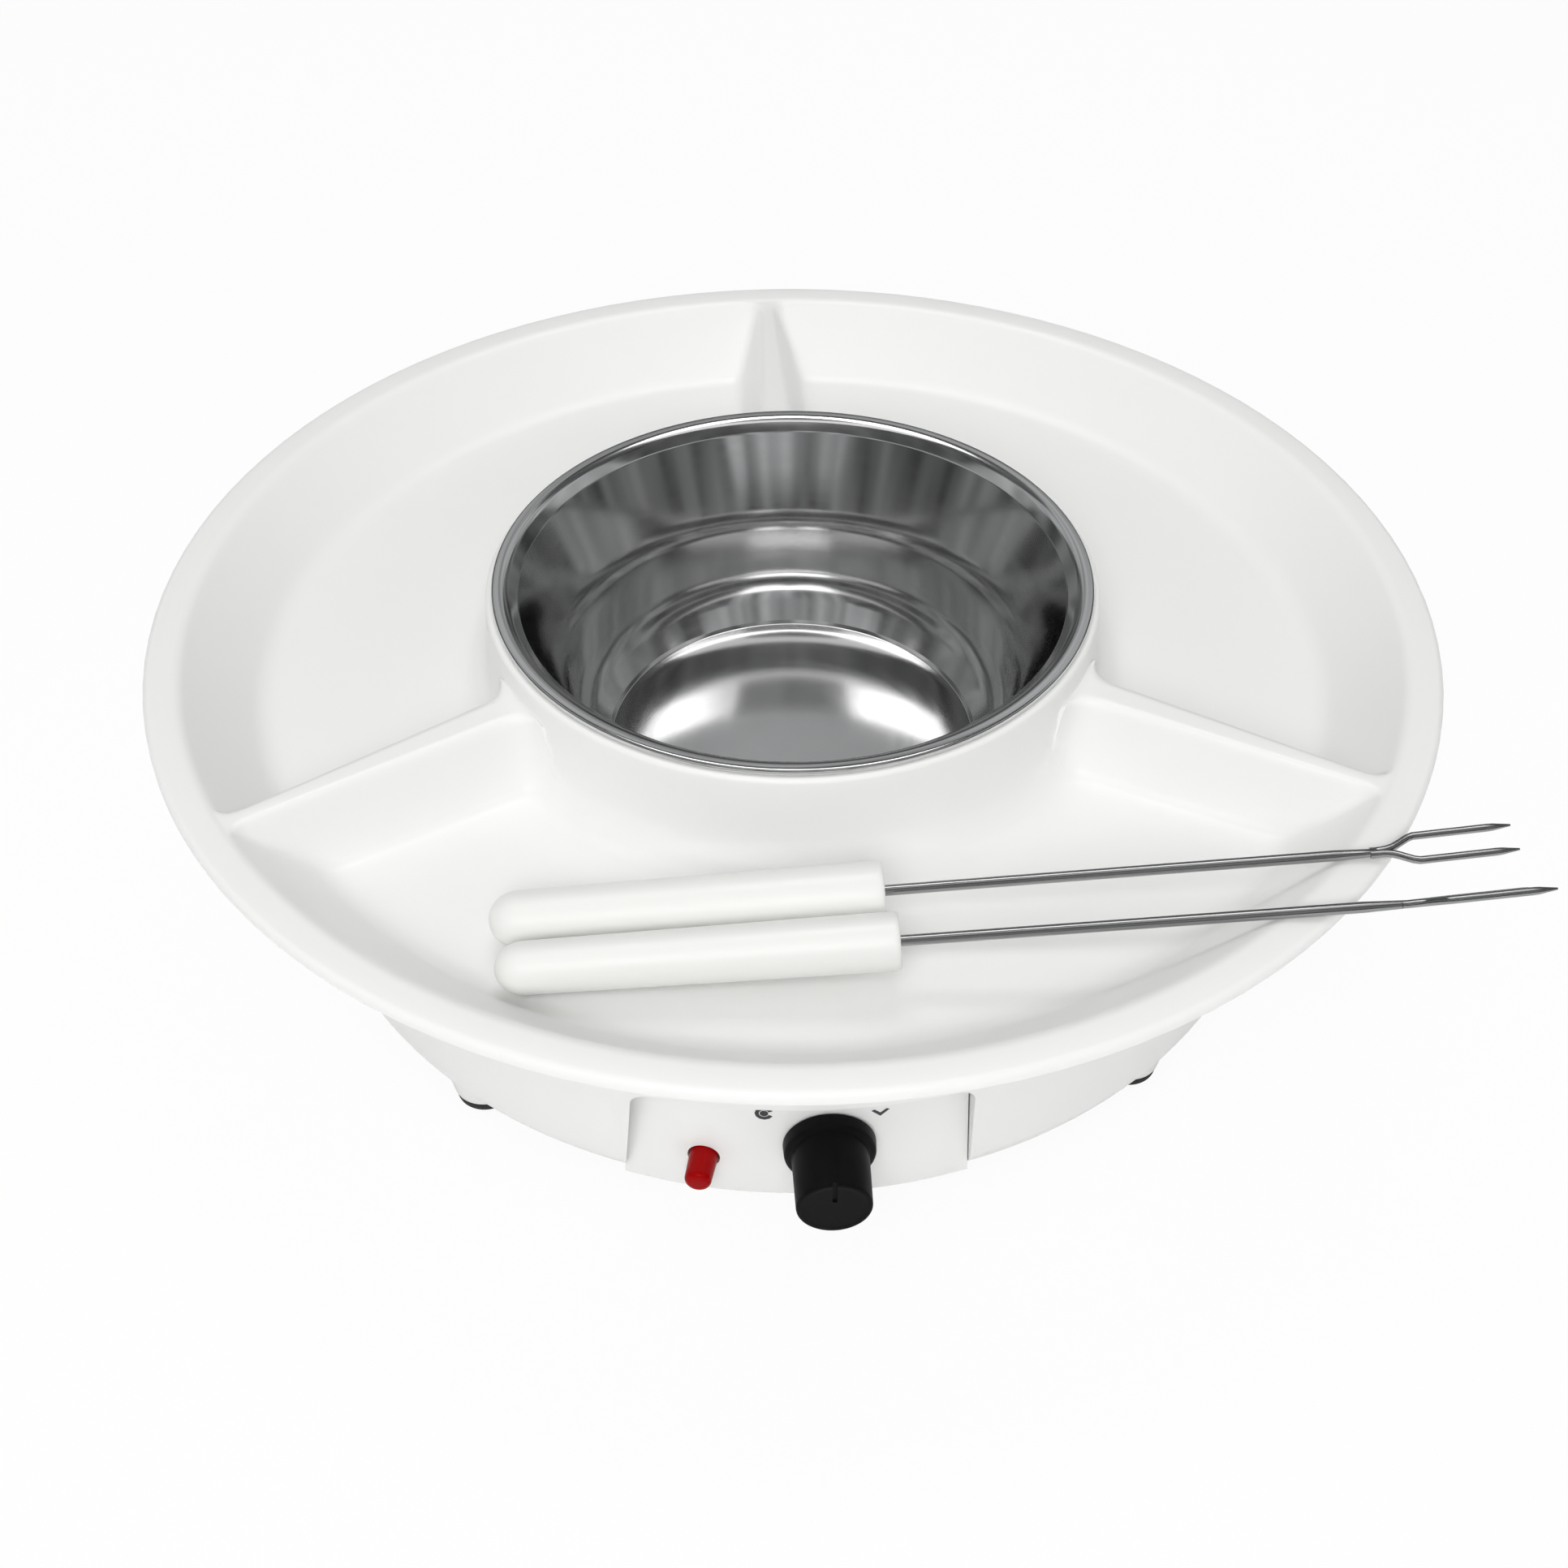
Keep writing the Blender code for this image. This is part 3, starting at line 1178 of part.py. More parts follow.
def make_fork(number, place, heading, roll):
    """Fork with its origin at its tail and +X towards its tips."""
    height, turn = fork_turn(place, heading, roll)
    fork = group("fork_%d" % number, (*place, height), turn)
    handle = lofted("fork_%d_handle" % number, handle_sections())
    bore = disc("bore", FORK_WIRE_RADIUS + GAP, HANDLE_LENGTH - HANDLE_BORE_DEPTH, HANDLE_LENGTH + 0.001, 10)
    bore.rotation_euler.y = pi / 2
    combine(handle, bore)
    finished(handle, "handle_plastic", CREAM, fork)
    root = FORK_LENGTH - TINE_LENGTH
    start = HANDLE_LENGTH - HANDLE_BORE_DEPTH + GAP
    path = [Vector((start, 0, 0)), Vector(((start + root) / 2, 0, 0)), Vector((root, 0, 0))]
    radii = [FORK_WIRE_RADIUS] * 3
    wire = tube("fork_%d_tines" % number, path, radii, 10)
    for side in (-1, 1):
        combine(wire, tine(side, root, roll), "UNION")
    finished(wire, "fork_steel", STEEL, fork)


def tine(side, root, roll):
    """One tine: leaves the wire, spreads, then runs straight to a fine tip."""
    lift = Vector((0, sin(radians(roll)), cos(radians(roll)))) * tan(radians(TINE_RISE_DEGREES))
    path = []
    radii = []
    for share in (-0.06, 0.03, 0.10, 0.18, 0.28, 0.6, 0.93, 1.0):
        spread = TINE_SPREAD * min(max(share, 0.0) / 0.28, 1.0)
        ease = spread * (0.5 - 0.5 * cos(pi * min(max(share, 0.0) / 0.28, 1.0)))
        forward = TINE_LENGTH * share
        sideways = side * (FORK_WIRE_RADIUS * 0.35 + ease)
        path.append(Vector((root + forward, sideways, 0)) + lift * max(forward, 0.0))
        radii.append(FORK_WIRE_RADIUS * (0.72 if share < 0.93 else 0.60))
    radii[-1] = FORK_WIRE_RADIUS * 0.22
    return tube("tine", path, radii, 8)


def build():
    clear_scene()
    base = group("base")
    tray = group("tray", parent=base)
    pot = group("pot_body", parent=tray)
    knob = group("knob_axis", (KNOB_X, KNOB_BACK, KNOB_HEIGHT), Matrix.Rotation(pi / 2, 3, "X"), base)
    make_housing(base)
    make_cover(base)
    make_feet(base)
    make_deck(base)
    make_shield(base)
    make_heater(base)
    make_panel(base)
    make_switch(base)
    make_lamp(base)
    make_knob(knob)
    make_gland(base)
    make_block(base)
    make_leads(base)
    make_tray(tray)
    make_pot(pot)
    make_fork(1, FORK_1_TAIL, FORK_1_HEADING_DEGREES, FORK_1_ROLL_DEGREES)
    make_fork(2, FORK_2_TAIL, FORK_2_HEADING_DEGREES, FORK_2_ROLL_DEGREES)
    bpy.context.view_layer.update()


build()
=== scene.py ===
"""Dressed chocolate melter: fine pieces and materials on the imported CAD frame.

Lengths are in metres in the CAD's frame: the origin is on the table under the pot,
+Z is up and the control panel faces -Y.
"""
import json
from math import asin, atan2, cos, hypot, pi, radians, sin, sqrt, tan

import bmesh
import bpy
from mathutils import Matrix, Vector


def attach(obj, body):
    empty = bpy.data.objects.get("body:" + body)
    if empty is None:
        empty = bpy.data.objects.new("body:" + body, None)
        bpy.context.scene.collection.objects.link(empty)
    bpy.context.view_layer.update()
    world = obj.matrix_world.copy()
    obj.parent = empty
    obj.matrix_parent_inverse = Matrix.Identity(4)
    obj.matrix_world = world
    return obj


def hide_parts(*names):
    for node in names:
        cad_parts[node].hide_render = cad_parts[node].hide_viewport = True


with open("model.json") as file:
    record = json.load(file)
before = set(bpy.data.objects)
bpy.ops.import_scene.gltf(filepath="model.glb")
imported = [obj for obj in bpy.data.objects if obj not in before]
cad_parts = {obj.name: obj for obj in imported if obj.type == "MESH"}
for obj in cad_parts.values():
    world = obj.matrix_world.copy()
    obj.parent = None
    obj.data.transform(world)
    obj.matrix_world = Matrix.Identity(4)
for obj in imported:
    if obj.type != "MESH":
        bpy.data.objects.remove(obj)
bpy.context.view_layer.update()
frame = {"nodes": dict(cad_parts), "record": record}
nodes = frame["nodes"]

# Clearances, how far cutters reach past what they cut, and facet counts
GAP = 0.0003
SLIP = 0.0005
CUT_MARGIN = 0.001
ROUND_PANEL = 240
ROUND_LARGE = 160
ROUND_MEDIUM = 96
ROUND_SMALL = 40

# Camera that matches the photograph
CAMERA_PLACE = (-0.02153, -0.39723, 0.38641)
CAMERA_TARGET = (-0.00210, 0.00010, 0.0257)
CAMERA_LENS = 46.58

# Floor and background: share of plain white that the camera sees, and the light from all round
FLOOR_RADIUS = 4.0
FLOOR_SIDES = 64
FLOOR_LEVELS = (-0.010, -0.0001)
FLOOR_COLOUR = (0.88, 0.88, 0.88)
FLOOR_WHITE = 0.92
ROOM_LIGHT = 0.47

# Lamps: place, diameter, power, and whether reflections show them
LAMP_TARGET = (0, 0, 0.05)
LAMPS = {
    "key": ((-0.20, -1.27, 1.23), 1.0, 17.0, False),
    "top_left": ((-0.24, 0.46, 1.52), 0.60, 2.0, True),
    "top_right": ((0.22, 0.46, 1.52), 0.55, 1.8, True),
}

# What only reflections see: zones of a dome, as first and last height in degrees and darkest and
# brightest glow, and a card in front of the object
GLOW_COLOUR = (0.975, 0.99, 1.0, 1.0)
GLOW_BANDS = 5.0
DOME_RADIUS = 1.9
DOME_SHELL = 1.003
DOME_STEPS = 8
ZONES = {
    "zone_low": (-3.0, 32.0, 0.04, 0.22),
    "zone_middle": (32.0, 47.0, 0.25, 0.60),
    "zone_high": (47.0, 66.0, 0.03, 0.16),
    "zone_top": (80.0, 89.9, 0.15, 0.40),
}
CARD_PLACE = (0.0, -1.30, 1.05)
CARD_TARGET = (0, 0, 0.06)
CARD_SIZE = (3.2, 1.3, 0.004)
CARD_GLOW = (0.08, 0.55)

# Serving tray
TRAY_RADIUS = 0.155
TRAY_TOP = 0.087
TRAY_FLOOR = 0.070
TRAY_WALL = 0.0025
TRAY_LIP_HEIGHT = 0.0032
TRAY_LIP_WIDTH = 0.0022
RIM_WIDTH = 0.008
SLOPE_RUN = 0.017
FLOOR_FILLET = 0.009
COLLAR_TOP = 0.0936
COLLAR_BORE = 0.0712
COLLAR_TOP_WALL = 0.0029
COLLAR_DRAFT = 0.0016
COLLAR_FILLET = 0.0075
DIVIDERS = 3
DIVIDER_CREST = (0.0046, 0.0021)
DIVIDER_DROP = (0.0055, 0.0006)
DIVIDER_DRAFT = 0.0056
DIVIDER_END_FILLET = (0.0060, 0.0050)
DIVIDER_FOOT_BLEND = 0.0060
DIVIDER_CREST_BLEND = 0.0030
BLEND_FADE = (0.003, 0.006)
BLEND_PAST_WALL = 0.0005
HOLLOW_CREST = 0.6
HOLLOW_STEEP = 3.2
HOLLOW_END_STEEP = 6
HOLLOW_BLEND = 0.0015
HOLLOW_EDGE_BLEND = 0.001
TRAY_RIB_WIDTH = 0.0018
TRAY_RIB_DEPTH = 0.0022
TRAY_STEP = 0.0022

# Pot, with a softer lower corner than the solid's
POT_WALL = 0.0008
POT_FLOOR = 0.043
POT_FLOOR_RADIUS = 0.0475
POT_FLOOR_STEP = 0.0008
POT_CORNER_RADIUS = 0.0536
POT_CORNER_HEIGHT = 0.0520
POT_CORNER_FILLET = 0.020
POT_SHOULDER_RADIUS = 0.0568
POT_SHOULDER_HEIGHT = 0.071
POT_SHOULDER_FILLET = 0.028
POT_MOUTH_RADIUS = 0.0664
POT_MOUTH_HEIGHT = 0.0924
POT_MOUTH_FILLET = 0.0016
POT_CROWN_RADIUS = 0.0694
POT_CROWN_FILLET = 0.004
POT_RIM_RADIUS = 0.0726
POT_RIM_TOP = 0.0953
POT_RIM_FILLET = 0.0012

# Lower housing
HOUSING_WALL = 0.0025
HOUSING_BOTTOM = 0.0088
HOUSING_FOOT_RADIUS = 0.1172
HOUSING_KNEE_RADIUS = 0.1232
HOUSING_KNEE_HEIGHT = 0.017
HOUSING_KNEE_FILLET = 0.014
HOUSING_TOP_RADIUS = 0.132
LEDGE_DEPTH = 0.0065
LEDGE_HEIGHT = 0.003
LEDGE_DROP = 0.0068

# Control panel
PANEL_RADIUS = 0.120
PANEL_THICKNESS = 0.003
PANEL_BOTTOM = 0.0096
PANEL_TOP = 0.0500
PANEL_LEFT = (-0.0438, -0.0402)
PANEL_RIGHT = (0.0342, 0.0322)
PANEL_CORNER = 0.0045
SEAT_WIDTH = 0.003
SEAT_THICKNESS = 0.0024
PANEL_HOLE_SPAN = (0.100, 0.130)
PANEL_BEVEL = 0.0005

# Printed signs on the panel: a ring for low heat and a wedge for high, both guessed
MARK_LEFT = (-0.0123, 0.0379)
MARK_RIGHT = (0.0131, 0.0366)
MARK_STROKE = 0.0009
MARK_SUNK = -0.00005
MARK_PROUD = 0.00006
MARK_RING_RADIUS = 0.0016
MARK_RING_DEGREES = (25, 335)
MARK_DOT_RADIUS = 0.0005
MARK_WEDGE = [
    [(-0.0020, 0.0009), (0.0, -0.0011), (0.0, 0.0), (-0.0013, 0.0012)],
    [(0.0, -0.0011), (0.0020, 0.0009), (0.0013, 0.0012), (0.0, 0.0)],
]

# Heat control and lamp
KNOB_X = 0.002
KNOB_HEIGHT = 0.028
KNOB_FLANGE_RADIUS = 0.01035
KNOB_FLANGE_THICKNESS = 0.0035
KNOB_BARREL_RADIUS = 0.0086
KNOB_END_RADIUS = 0.0083
KNOB_LENGTH = 0.0177
KNOB_RECESS_RADIUS = 0.0074
KNOB_RECESS_DEPTH = 0.0036
KNOB_MARK_WIDTH = 0.001
KNOB_MARK_START = 0.002
KNOB_MARK_DEPTH = 0.0008
BUSH_RADIUS = 0.0035
LAMP_DEGREES = -12.4
LAMP_HEIGHT = 0.0210
LENS_RADIUS = 0.0034
LENS_TIP_RADIUS = 0.0030
LENS_REACH = 0.0078

# Feet, cover and screws
FOOT_CIRCLE = 0.1105
LEG_BOTTOM = 0.0029
LEG_RADIUS = 0.0076
LEG_TOP_RADIUS = 0.0090
LEG_RISE = 0.0022
LEG_CLEAR_HEIGHT = 0.030
FOOT_RADIUS = 0.0074
FOOT_STEM_RADIUS = 0.0060
FOOT_HOLE_RADIUS = 0.002
FOOT_RECESS_RADIUS = 0.0038
FOOT_RECESS_DEPTH = 0.0042
COVER_THICKNESS = 0.0025
VENT_SLOTS = 12
VENT_CIRCLE = 0.055
VENT_LENGTH = 0.026
VENT_WIDTH = 0.004
SCREW_RADIUS = 0.0015
SCREW_HEAD_RADIUS = 0.003
SCREW_HEAD_HEIGHT = 0.0018
SCREW_SLOT_WIDTH = 0.00072
COVER_SCREW_LENGTH = 0.020
DECK_SCREW_LENGTH = 0.006

# Deck, heat shield and heater plate
DECK_THICKNESS = 0.002
DECK_HOLE_RADIUS = 0.067
SHIELD_WALL = 0.0008
SHIELD_LIP_RADIUS = 0.0705
SHIELD_RADIUS = 0.0655
SHIELD_FLOOR = 0.0248
SHIELD_TAPER = 0.0025
SHIELD_WIRE_HOLE = 0.0065
PLATE_RADIUS = 0.046
PLATE_THICKNESS = 0.005

# Gland
GLAND_HEIGHT = 0.033
GLAND_HOLE_RADIUS = 0.0036
GLAND_NECK_RADIUS = 0.0052
GLAND_FLANGE_RADIUS = 0.0075
GLAND_FLANGE_THICKNESS = 0.0022
GLAND_HOLE_SPAN = (0.100, 0.140)

# Forks, each with its tail's place on the tray, heading and roll in degrees
FORK_LENGTH = 0.2168
HANDLE_LENGTH = 0.084
HANDLE_FRONT = (0.0068, 0.0062)
HANDLE_TAIL = (0.0062, 0.0056)
HANDLE_BORE_DEPTH = 0.012
FORK_WIRE_RADIUS = 0.00118
TINE_LENGTH = 0.029
TINE_SPREAD = 0.0030
TINE_RISE_DEGREES = 2.85
TINE_STEPS = 24
TINE_THICKNESS = 0.72
TINE_ROOT_OFFSET = 0.35
TINE_BEND_SHARE = 0.28
TINE_TIP_START = 0.86
TINE_TIP_SHARE = 0.14
TINE_TIP_TAPER = 0.72
FORKS = {
    "fork_1": ((-0.0674, -0.1098), -1.08, -46.0),
    "fork_2": ((-0.0694, -0.0953), -0.45, 4.0),
}

# Sizes that follow from the ones above
TRAY_UNDERSIDE = TRAY_FLOOR - TRAY_WALL
HOUSING_TOP = TRAY_UNDERSIDE - GAP
LEDGE_TOP = HOUSING_TOP - LEDGE_DROP
DECK_BOTTOM = LEDGE_TOP + GAP
DECK_TOP = DECK_BOTTOM + DECK_THICKNESS
COVER_BOTTOM = HOUSING_BOTTOM + GAP
COVER_TOP = COVER_BOTTOM + COVER_THICKNESS
FOOT_TOP = HOUSING_BOTTOM - GAP
PLATE_TOP = POT_FLOOR - POT_WALL - GAP
PANEL_BACK = PANEL_RADIUS - PANEL_THICKNESS
SEAT_FRONT = PANEL_BACK - GAP
SEAT_BACK = SEAT_FRONT - SEAT_THICKNESS
KNOB_BACK = -PANEL_RADIUS - GAP


# Mesh helpers

def add_object(name, work, sharp=38):
    """Object from a bmesh, smooth apart from edges above this angle in degrees."""
    bmesh.ops.recalc_face_normals(work, faces=work.faces)
    mesh = bpy.data.meshes.new(name)
    work.to_mesh(mesh)
    work.free()
    made = bpy.data.objects.new(name, mesh)
    bpy.context.collection.objects.link(made)
    smooth(made, sharp)
    return made


def smooth(piece, sharp=38):
    piece.data.shade_smooth()
    piece.data.set_sharp_from_angle(angle=radians(sharp))


def combine(target, tool, operation="DIFFERENCE"):
    """Boolean of two objects, applied, with the tool deleted."""
    bpy.context.view_layer.update()
    change = target.modifiers.new("combine", "BOOLEAN")
    change.operation = operation
    change.solver = "EXACT"
    change.object = tool
    apply_modifiers(target)
    bpy.data.objects.remove(tool, do_unlink=True)
    return target


def apply_modifiers(piece):
    bpy.context.view_layer.update()
    depsgraph = bpy.context.evaluated_depsgraph_get()
    result = bpy.data.meshes.new_from_object(piece.evaluated_get(depsgraph))
    piece.modifiers.clear()
    piece.data = result


def bevel_edges(piece, width, segments, angle=50):
    """Round the edges sharper than an angle in degrees."""
    change = piece.modifiers.new("bevel", "BEVEL")
    change.width = width
    change.segments = segments
    change.limit_method = "ANGLE"
    change.angle_limit = radians(angle)
    change.use_clamp_overlap = True
    apply_modifiers(piece)


def rounded(corners, steps=8):
    """Closed outline through corners (x, y, fillet radius), with arcs for the fillets."""
    outline = []
    for index, (x, y, radius) in enumerate(corners):
        here = Vector((x, y))
        if radius <= 0:
            outline.append(here)
            continue
        before = Vector(corners[index - 1][:2]) - here
        after = Vector(corners[(index + 1) % len(corners)][:2]) - here
        half = before.angle(after) / 2
        reach = min(radius / tan(half), 0.48 * before.length, 0.48 * after.length)
        fillet = reach * tan(half)
        towards = (before.normalized() + after.normalized()).normalized()
        centre = here + towards * fillet / sin(half)
        start = here + before.normalized() * reach - centre
        end = here + after.normalized() * reach - centre
        sweep = atan2(start.cross(end), start.dot(end))
        for step in range(steps + 1):
            outline.append(centre + Matrix.Rotation(sweep * step / steps, 2) @ start)
    return outline


def thickened(line, wall):
    """Closed outline of a wall to the right of an open line, of even thickness."""
    offset = []
    for index, point in enumerate(line):
        before = line[index] - line[index - 1] if index else line[1] - line[0]
        last = index == len(line) - 1
        after = before if last else line[index + 1] - line[index]
        normals = [Vector((way.y, -way.x)).normalized() for way in (before, after)]
        mitre = (normals[0] + normals[1]).normalized()
        moved = point + mitre * wall / max(mitre.dot(normals[0]), 0.5)
        if point.x == 0:
            moved.x = 0
        offset.append(moved)
    return list(line) + offset[::-1]


def turned(name, outline, segments=ROUND_LARGE, sharp=38):
    """Solid of revolution about Z from a closed outline of (radius, height)."""
    work = bmesh.new()
    verts = [work.verts.new((x, 0, z)) for x, z in outline]
    edges = [work.edges.new((verts[i - 1], verts[i])) for i in range(len(verts))
             if outline[i - 1][0] > 0 or outline[i][0] > 0]
    bmesh.ops.spin(work, geom=verts + edges, axis=(0, 0, 1), cent=(0, 0, 0), dvec=(0, 0, 0),
                   angle=2 * pi, steps=segments, use_merge=True, use_duplicate=False)
    bmesh.ops.remove_doubles(work, verts=work.verts, dist=1e-6)
    return add_object(name, work, sharp)


def disc(name, radius, bottom, top, segments=ROUND_SMALL, bevel=0.0):
    corners = [(0, bottom, 0), (radius, bottom, bevel), (radius, top, bevel), (0, top, 0)]
    return turned(name, rounded(corners, 3), segments)


def ring(name, inner, outer, bottom, top, segments=ROUND_LARGE):
    return turned(name, [(inner, bottom), (outer, bottom), (outer, top), (inner, top)], segments)


def close_loft(work, rows):
    """Bridge rows of points and cap both ends."""
    for first, second in zip(rows, rows[1:]):
        for i in range(len(first)):
            work.faces.new((first[i - 1], first[i], second[i], second[i - 1]))
    work.faces.new(rows[0])
    work.faces.new(rows[-1])


def lofted(name, sections):
    work = bmesh.new()
    close_loft(work, [[work.verts.new(point) for point in section] for section in sections])
    return add_object(name, work)


def prism(name, outline, low, high, axes="xyz"):
    """Solid extruded from an outline along the last of the three axes named."""
    order = ["xyz".index(letter) for letter in axes]
    sections = []
    for level in (low, high):
        section = []
        for point in outline:
            place = [0.0, 0.0, 0.0]
            place[order[0]], place[order[1]], place[order[2]] = point[0], point[1], level
            section.append(place)
        sections.append(section)
    return lofted(name, sections)


def box(name, low, high):
    outline = [(low[0], low[1]), (high[0], low[1]), (high[0], high[1]), (low[0], high[1])]
    return prism(name, outline, low[2], high[2])


def tube(name, points, radii, sides=16):
    """Solid tube along points, with a radius at each."""
    sections = []
    count = len(points)
    side = Vector((0, 0, 1))
    for index, point in enumerate(points):
        way = (points[min(index + 1, count - 1)] - points[max(index - 1, 0)]).normalized()
        side = side - way * side.dot(way)
        if side.length < 0.2:
            side = way.orthogonal()
        side.normalize()
        across = way.cross(side)
        turns = [2 * pi * k / sides for k in range(sides)]
        sections.append([point + (side * cos(a) + across * sin(a)) * radii[index] for a in turns])
    return lofted(name, sections)


def around(radius, degrees, height=0.0):
    """Point at an angle from the front (-Y), counted towards +X."""
    return Vector((radius * sin(radians(degrees)), -radius * cos(radians(degrees)), height))


def spaced(count, first=0.0):
    return [first + 360.0 * index / count for index in range(count)]


def housing_radius(height):
    share = (height - HOUSING_KNEE_HEIGHT) / (HOUSING_TOP - HOUSING_KNEE_HEIGHT)
    return HOUSING_KNEE_RADIUS + share * (HOUSING_TOP_RADIUS - HOUSING_KNEE_RADIUS)


# Materials

def set_up(name, colour, roughness, metallic=0.0):
    """New material with a Principled shader, and its node tree, shader and object coordinates."""
    made = bpy.data.materials.new(name)
    made.use_nodes = True
    made.diffuse_color = (*colour, 1.0)
    tree = made.node_tree
    shader = tree.nodes["Principled BSDF"]
    shader.inputs["Base Color"].default_value = (*colour, 1.0)
    shader.inputs["Roughness"].default_value = roughness
    shader.inputs["Metallic"].default_value = metallic
    place = tree.nodes.new("ShaderNodeTexCoord").outputs["Object"]
    return made, tree, shader, place


def noise(tree, place, scale, detail=3.0, stretch=None):
    """Noise output at a scale per metre, stretched per axis if asked."""
    if stretch:
        mapping = tree.nodes.new("ShaderNodeMapping")
        mapping.inputs["Scale"].default_value = stretch
        tree.links.new(place, mapping.inputs["Vector"])
        place = mapping.outputs["Vector"]
    node = tree.nodes.new("ShaderNodeTexNoise")
    node.inputs["Scale"].default_value = scale
    node.inputs["Detail"].default_value = detail
    tree.links.new(place, node.inputs["Vector"])
    return node.outputs["Fac"]


def ranged(tree, value, low, high):
    """Noise value mapped to a range."""
    node = tree.nodes.new("ShaderNodeMapRange")
    node.inputs["From Min"].default_value = 0.3
    node.inputs["From Max"].default_value = 0.7
    node.inputs["To Min"].default_value = low
    node.inputs["To Max"].default_value = high
    tree.links.new(value, node.inputs["Value"])
    return node.outputs["Result"]


def tinted(tree, value, shader, first, second):
    """Base colour that wanders between two colours."""
    node = tree.nodes.new("ShaderNodeMix")
    node.data_type = "RGBA"
    node.inputs["A"].default_value = (*first, 1.0)
    node.inputs["B"].default_value = (*second, 1.0)
    tree.links.new(value, node.inputs["Factor"])
    tree.links.new(node.outputs["Result"], shader.inputs["Base Color"])


def bumped(tree, shader, heights):
    """Bump from several (height output, distance in metres) pairs."""
    normal = None
    for height, distance in heights:
        node = tree.nodes.new("ShaderNodeBump")
        node.inputs["Strength"].default_value = 1.0
        node.inputs["Distance"].default_value = distance
        tree.links.new(height, node.inputs["Height"])
        if normal:
            tree.links.new(normal, node.inputs["Normal"])
        normal = node.outputs["Normal"]
    tree.links.new(normal, shader.inputs["Normal"])


def shaded(colour, amount):
    return tuple(channel * amount for channel in colour)


def uneven(tree, value, shader, roughness, wander):
    """Roughness that wanders to both sides of a value."""
    wandering = ranged(tree, value, roughness - wander, roughness + wander)
    tree.links.new(wandering, shader.inputs["Roughness"])


def plastic(name, colour, roughness, wander, grain, depth, level):
    """Moulded plastic: faint clouding, uneven gloss and a fine skin texture."""
    made, tree, shader, place = set_up(name, colour, roughness)
    shader.inputs["Specular IOR Level"].default_value = level
    clouds = noise(tree, place, 28.0, 2.0)
    tinted(tree, clouds, shader, shaded(colour, 0.985), colour)
    uneven(tree, noise(tree, place, 70.0), shader, roughness, wander)
    skin = noise(tree, place, grain, 2.0)
    waves = noise(tree, place, 45.0, 1.0)
    bumped(tree, shader, [(skin, depth), (waves, depth * 4)])
    return made


def polar(tree, place):
    """Coordinates of (turns round Z, distance from Z, height)."""
    split = tree.nodes.new("ShaderNodeSeparateXYZ")
    tree.links.new(place, split.inputs["Vector"])
    angle = tree.nodes.new("ShaderNodeMath")
    angle.operation = "ARCTAN2"
    tree.links.new(split.outputs["Y"], angle.inputs[0])
    tree.links.new(split.outputs["X"], angle.inputs[1])
    flat = tree.nodes.new("ShaderNodeCombineXYZ")
    tree.links.new(split.outputs["X"], flat.inputs["X"])
    tree.links.new(split.outputs["Y"], flat.inputs["Y"])
    reach = tree.nodes.new("ShaderNodeVectorMath")
    reach.operation = "LENGTH"
    tree.links.new(flat.outputs["Vector"], reach.inputs[0])
    joined = tree.nodes.new("ShaderNodeCombineXYZ")
    tree.links.new(angle.outputs["Value"], joined.inputs["X"])
    tree.links.new(reach.outputs["Value"], joined.inputs["Y"])
    tree.links.new(split.outputs["Z"], joined.inputs["Z"])
    return joined.outputs["Vector"]


def metal(name, colour, roughness, wander, lines, depth, turned_lines):
    """Metal with fine lines, round Z if it was turned or spun, and uneven polish."""
    made, tree, shader, place = set_up(name, colour, roughness, 1.0)
    clouds = noise(tree, place, 35.0)
    tinted(tree, clouds, shader, shaded(colour, 0.93), colour)
    where = polar(tree, place) if turned_lines else place
    stretch = (1.6, lines, lines) if turned_lines else (lines * 0.04, lines, lines)
    grain = noise(tree, where, 1.0, 4.0, stretch)
    uneven(tree, grain, shader, roughness, wander)
    bumped(tree, shader, [(grain, depth)])
    return made


# Colour, roughness and how far it wanders, grain per metre and its depth, specular level
PLASTICS = {
    "white_plastic": ((0.86, 0.865, 0.85), 0.33, 0.03, 900.0, 0.0000015, 0.5),
    "cream_plastic": ((0.82, 0.82, 0.80), 0.42, 0.05, 1400.0, 0.000010, 0.5),
    "handle_plastic": ((0.82, 0.82, 0.80), 0.32, 0.04, 1200.0, 0.000003, 0.5),
    "black_plastic": ((0.004, 0.004, 0.0045), 0.44, 0.05, 2200.0, 0.000012, 0.07),
    "red_lens": ((0.30, 0.001, 0.0015), 0.20, 0.03, 500.0, 0.000002, 0.08),
    "rubber": ((0.03, 0.03, 0.03), 0.72, 0.08, 1800.0, 0.000030, 0.3),
    "lead_brown": ((0.16, 0.05, 0.02), 0.45, 0.05, 1500.0, 0.000008, 0.5),
    "lead_blue": ((0.03, 0.10, 0.45), 0.45, 0.05, 1500.0, 0.000008, 0.5),
    "print_grey": ((0.03, 0.03, 0.035), 0.5, 0.05, 1500.0, 0.000004, 0.5),
}

# Colour, roughness and how far it wanders, lines per metre and their depth, lines round Z
METALS = {
    "polished_steel": ((0.72, 0.72, 0.72), 0.12, 0.015, 500.0, 0.0000001, True),
    "fork_steel": ((0.36, 0.36, 0.36), 0.18, 0.04, 1800.0, 0.000002, False),
    "aluminium": ((0.80, 0.80, 0.79), 0.34, 0.06, 2200.0, 0.000004, True),
    "zinc": ((0.70, 0.70, 0.68), 0.36, 0.08, 900.0, 0.000005, False),
    "brass": ((0.78, 0.60, 0.28), 0.30, 0.06, 1500.0, 0.000004, False),
}

MATERIALS = {name: plastic(name, *look) for name, look in PLASTICS.items()}
MATERIALS.update({name: metal(name, *look) for name, look in METALS.items()})


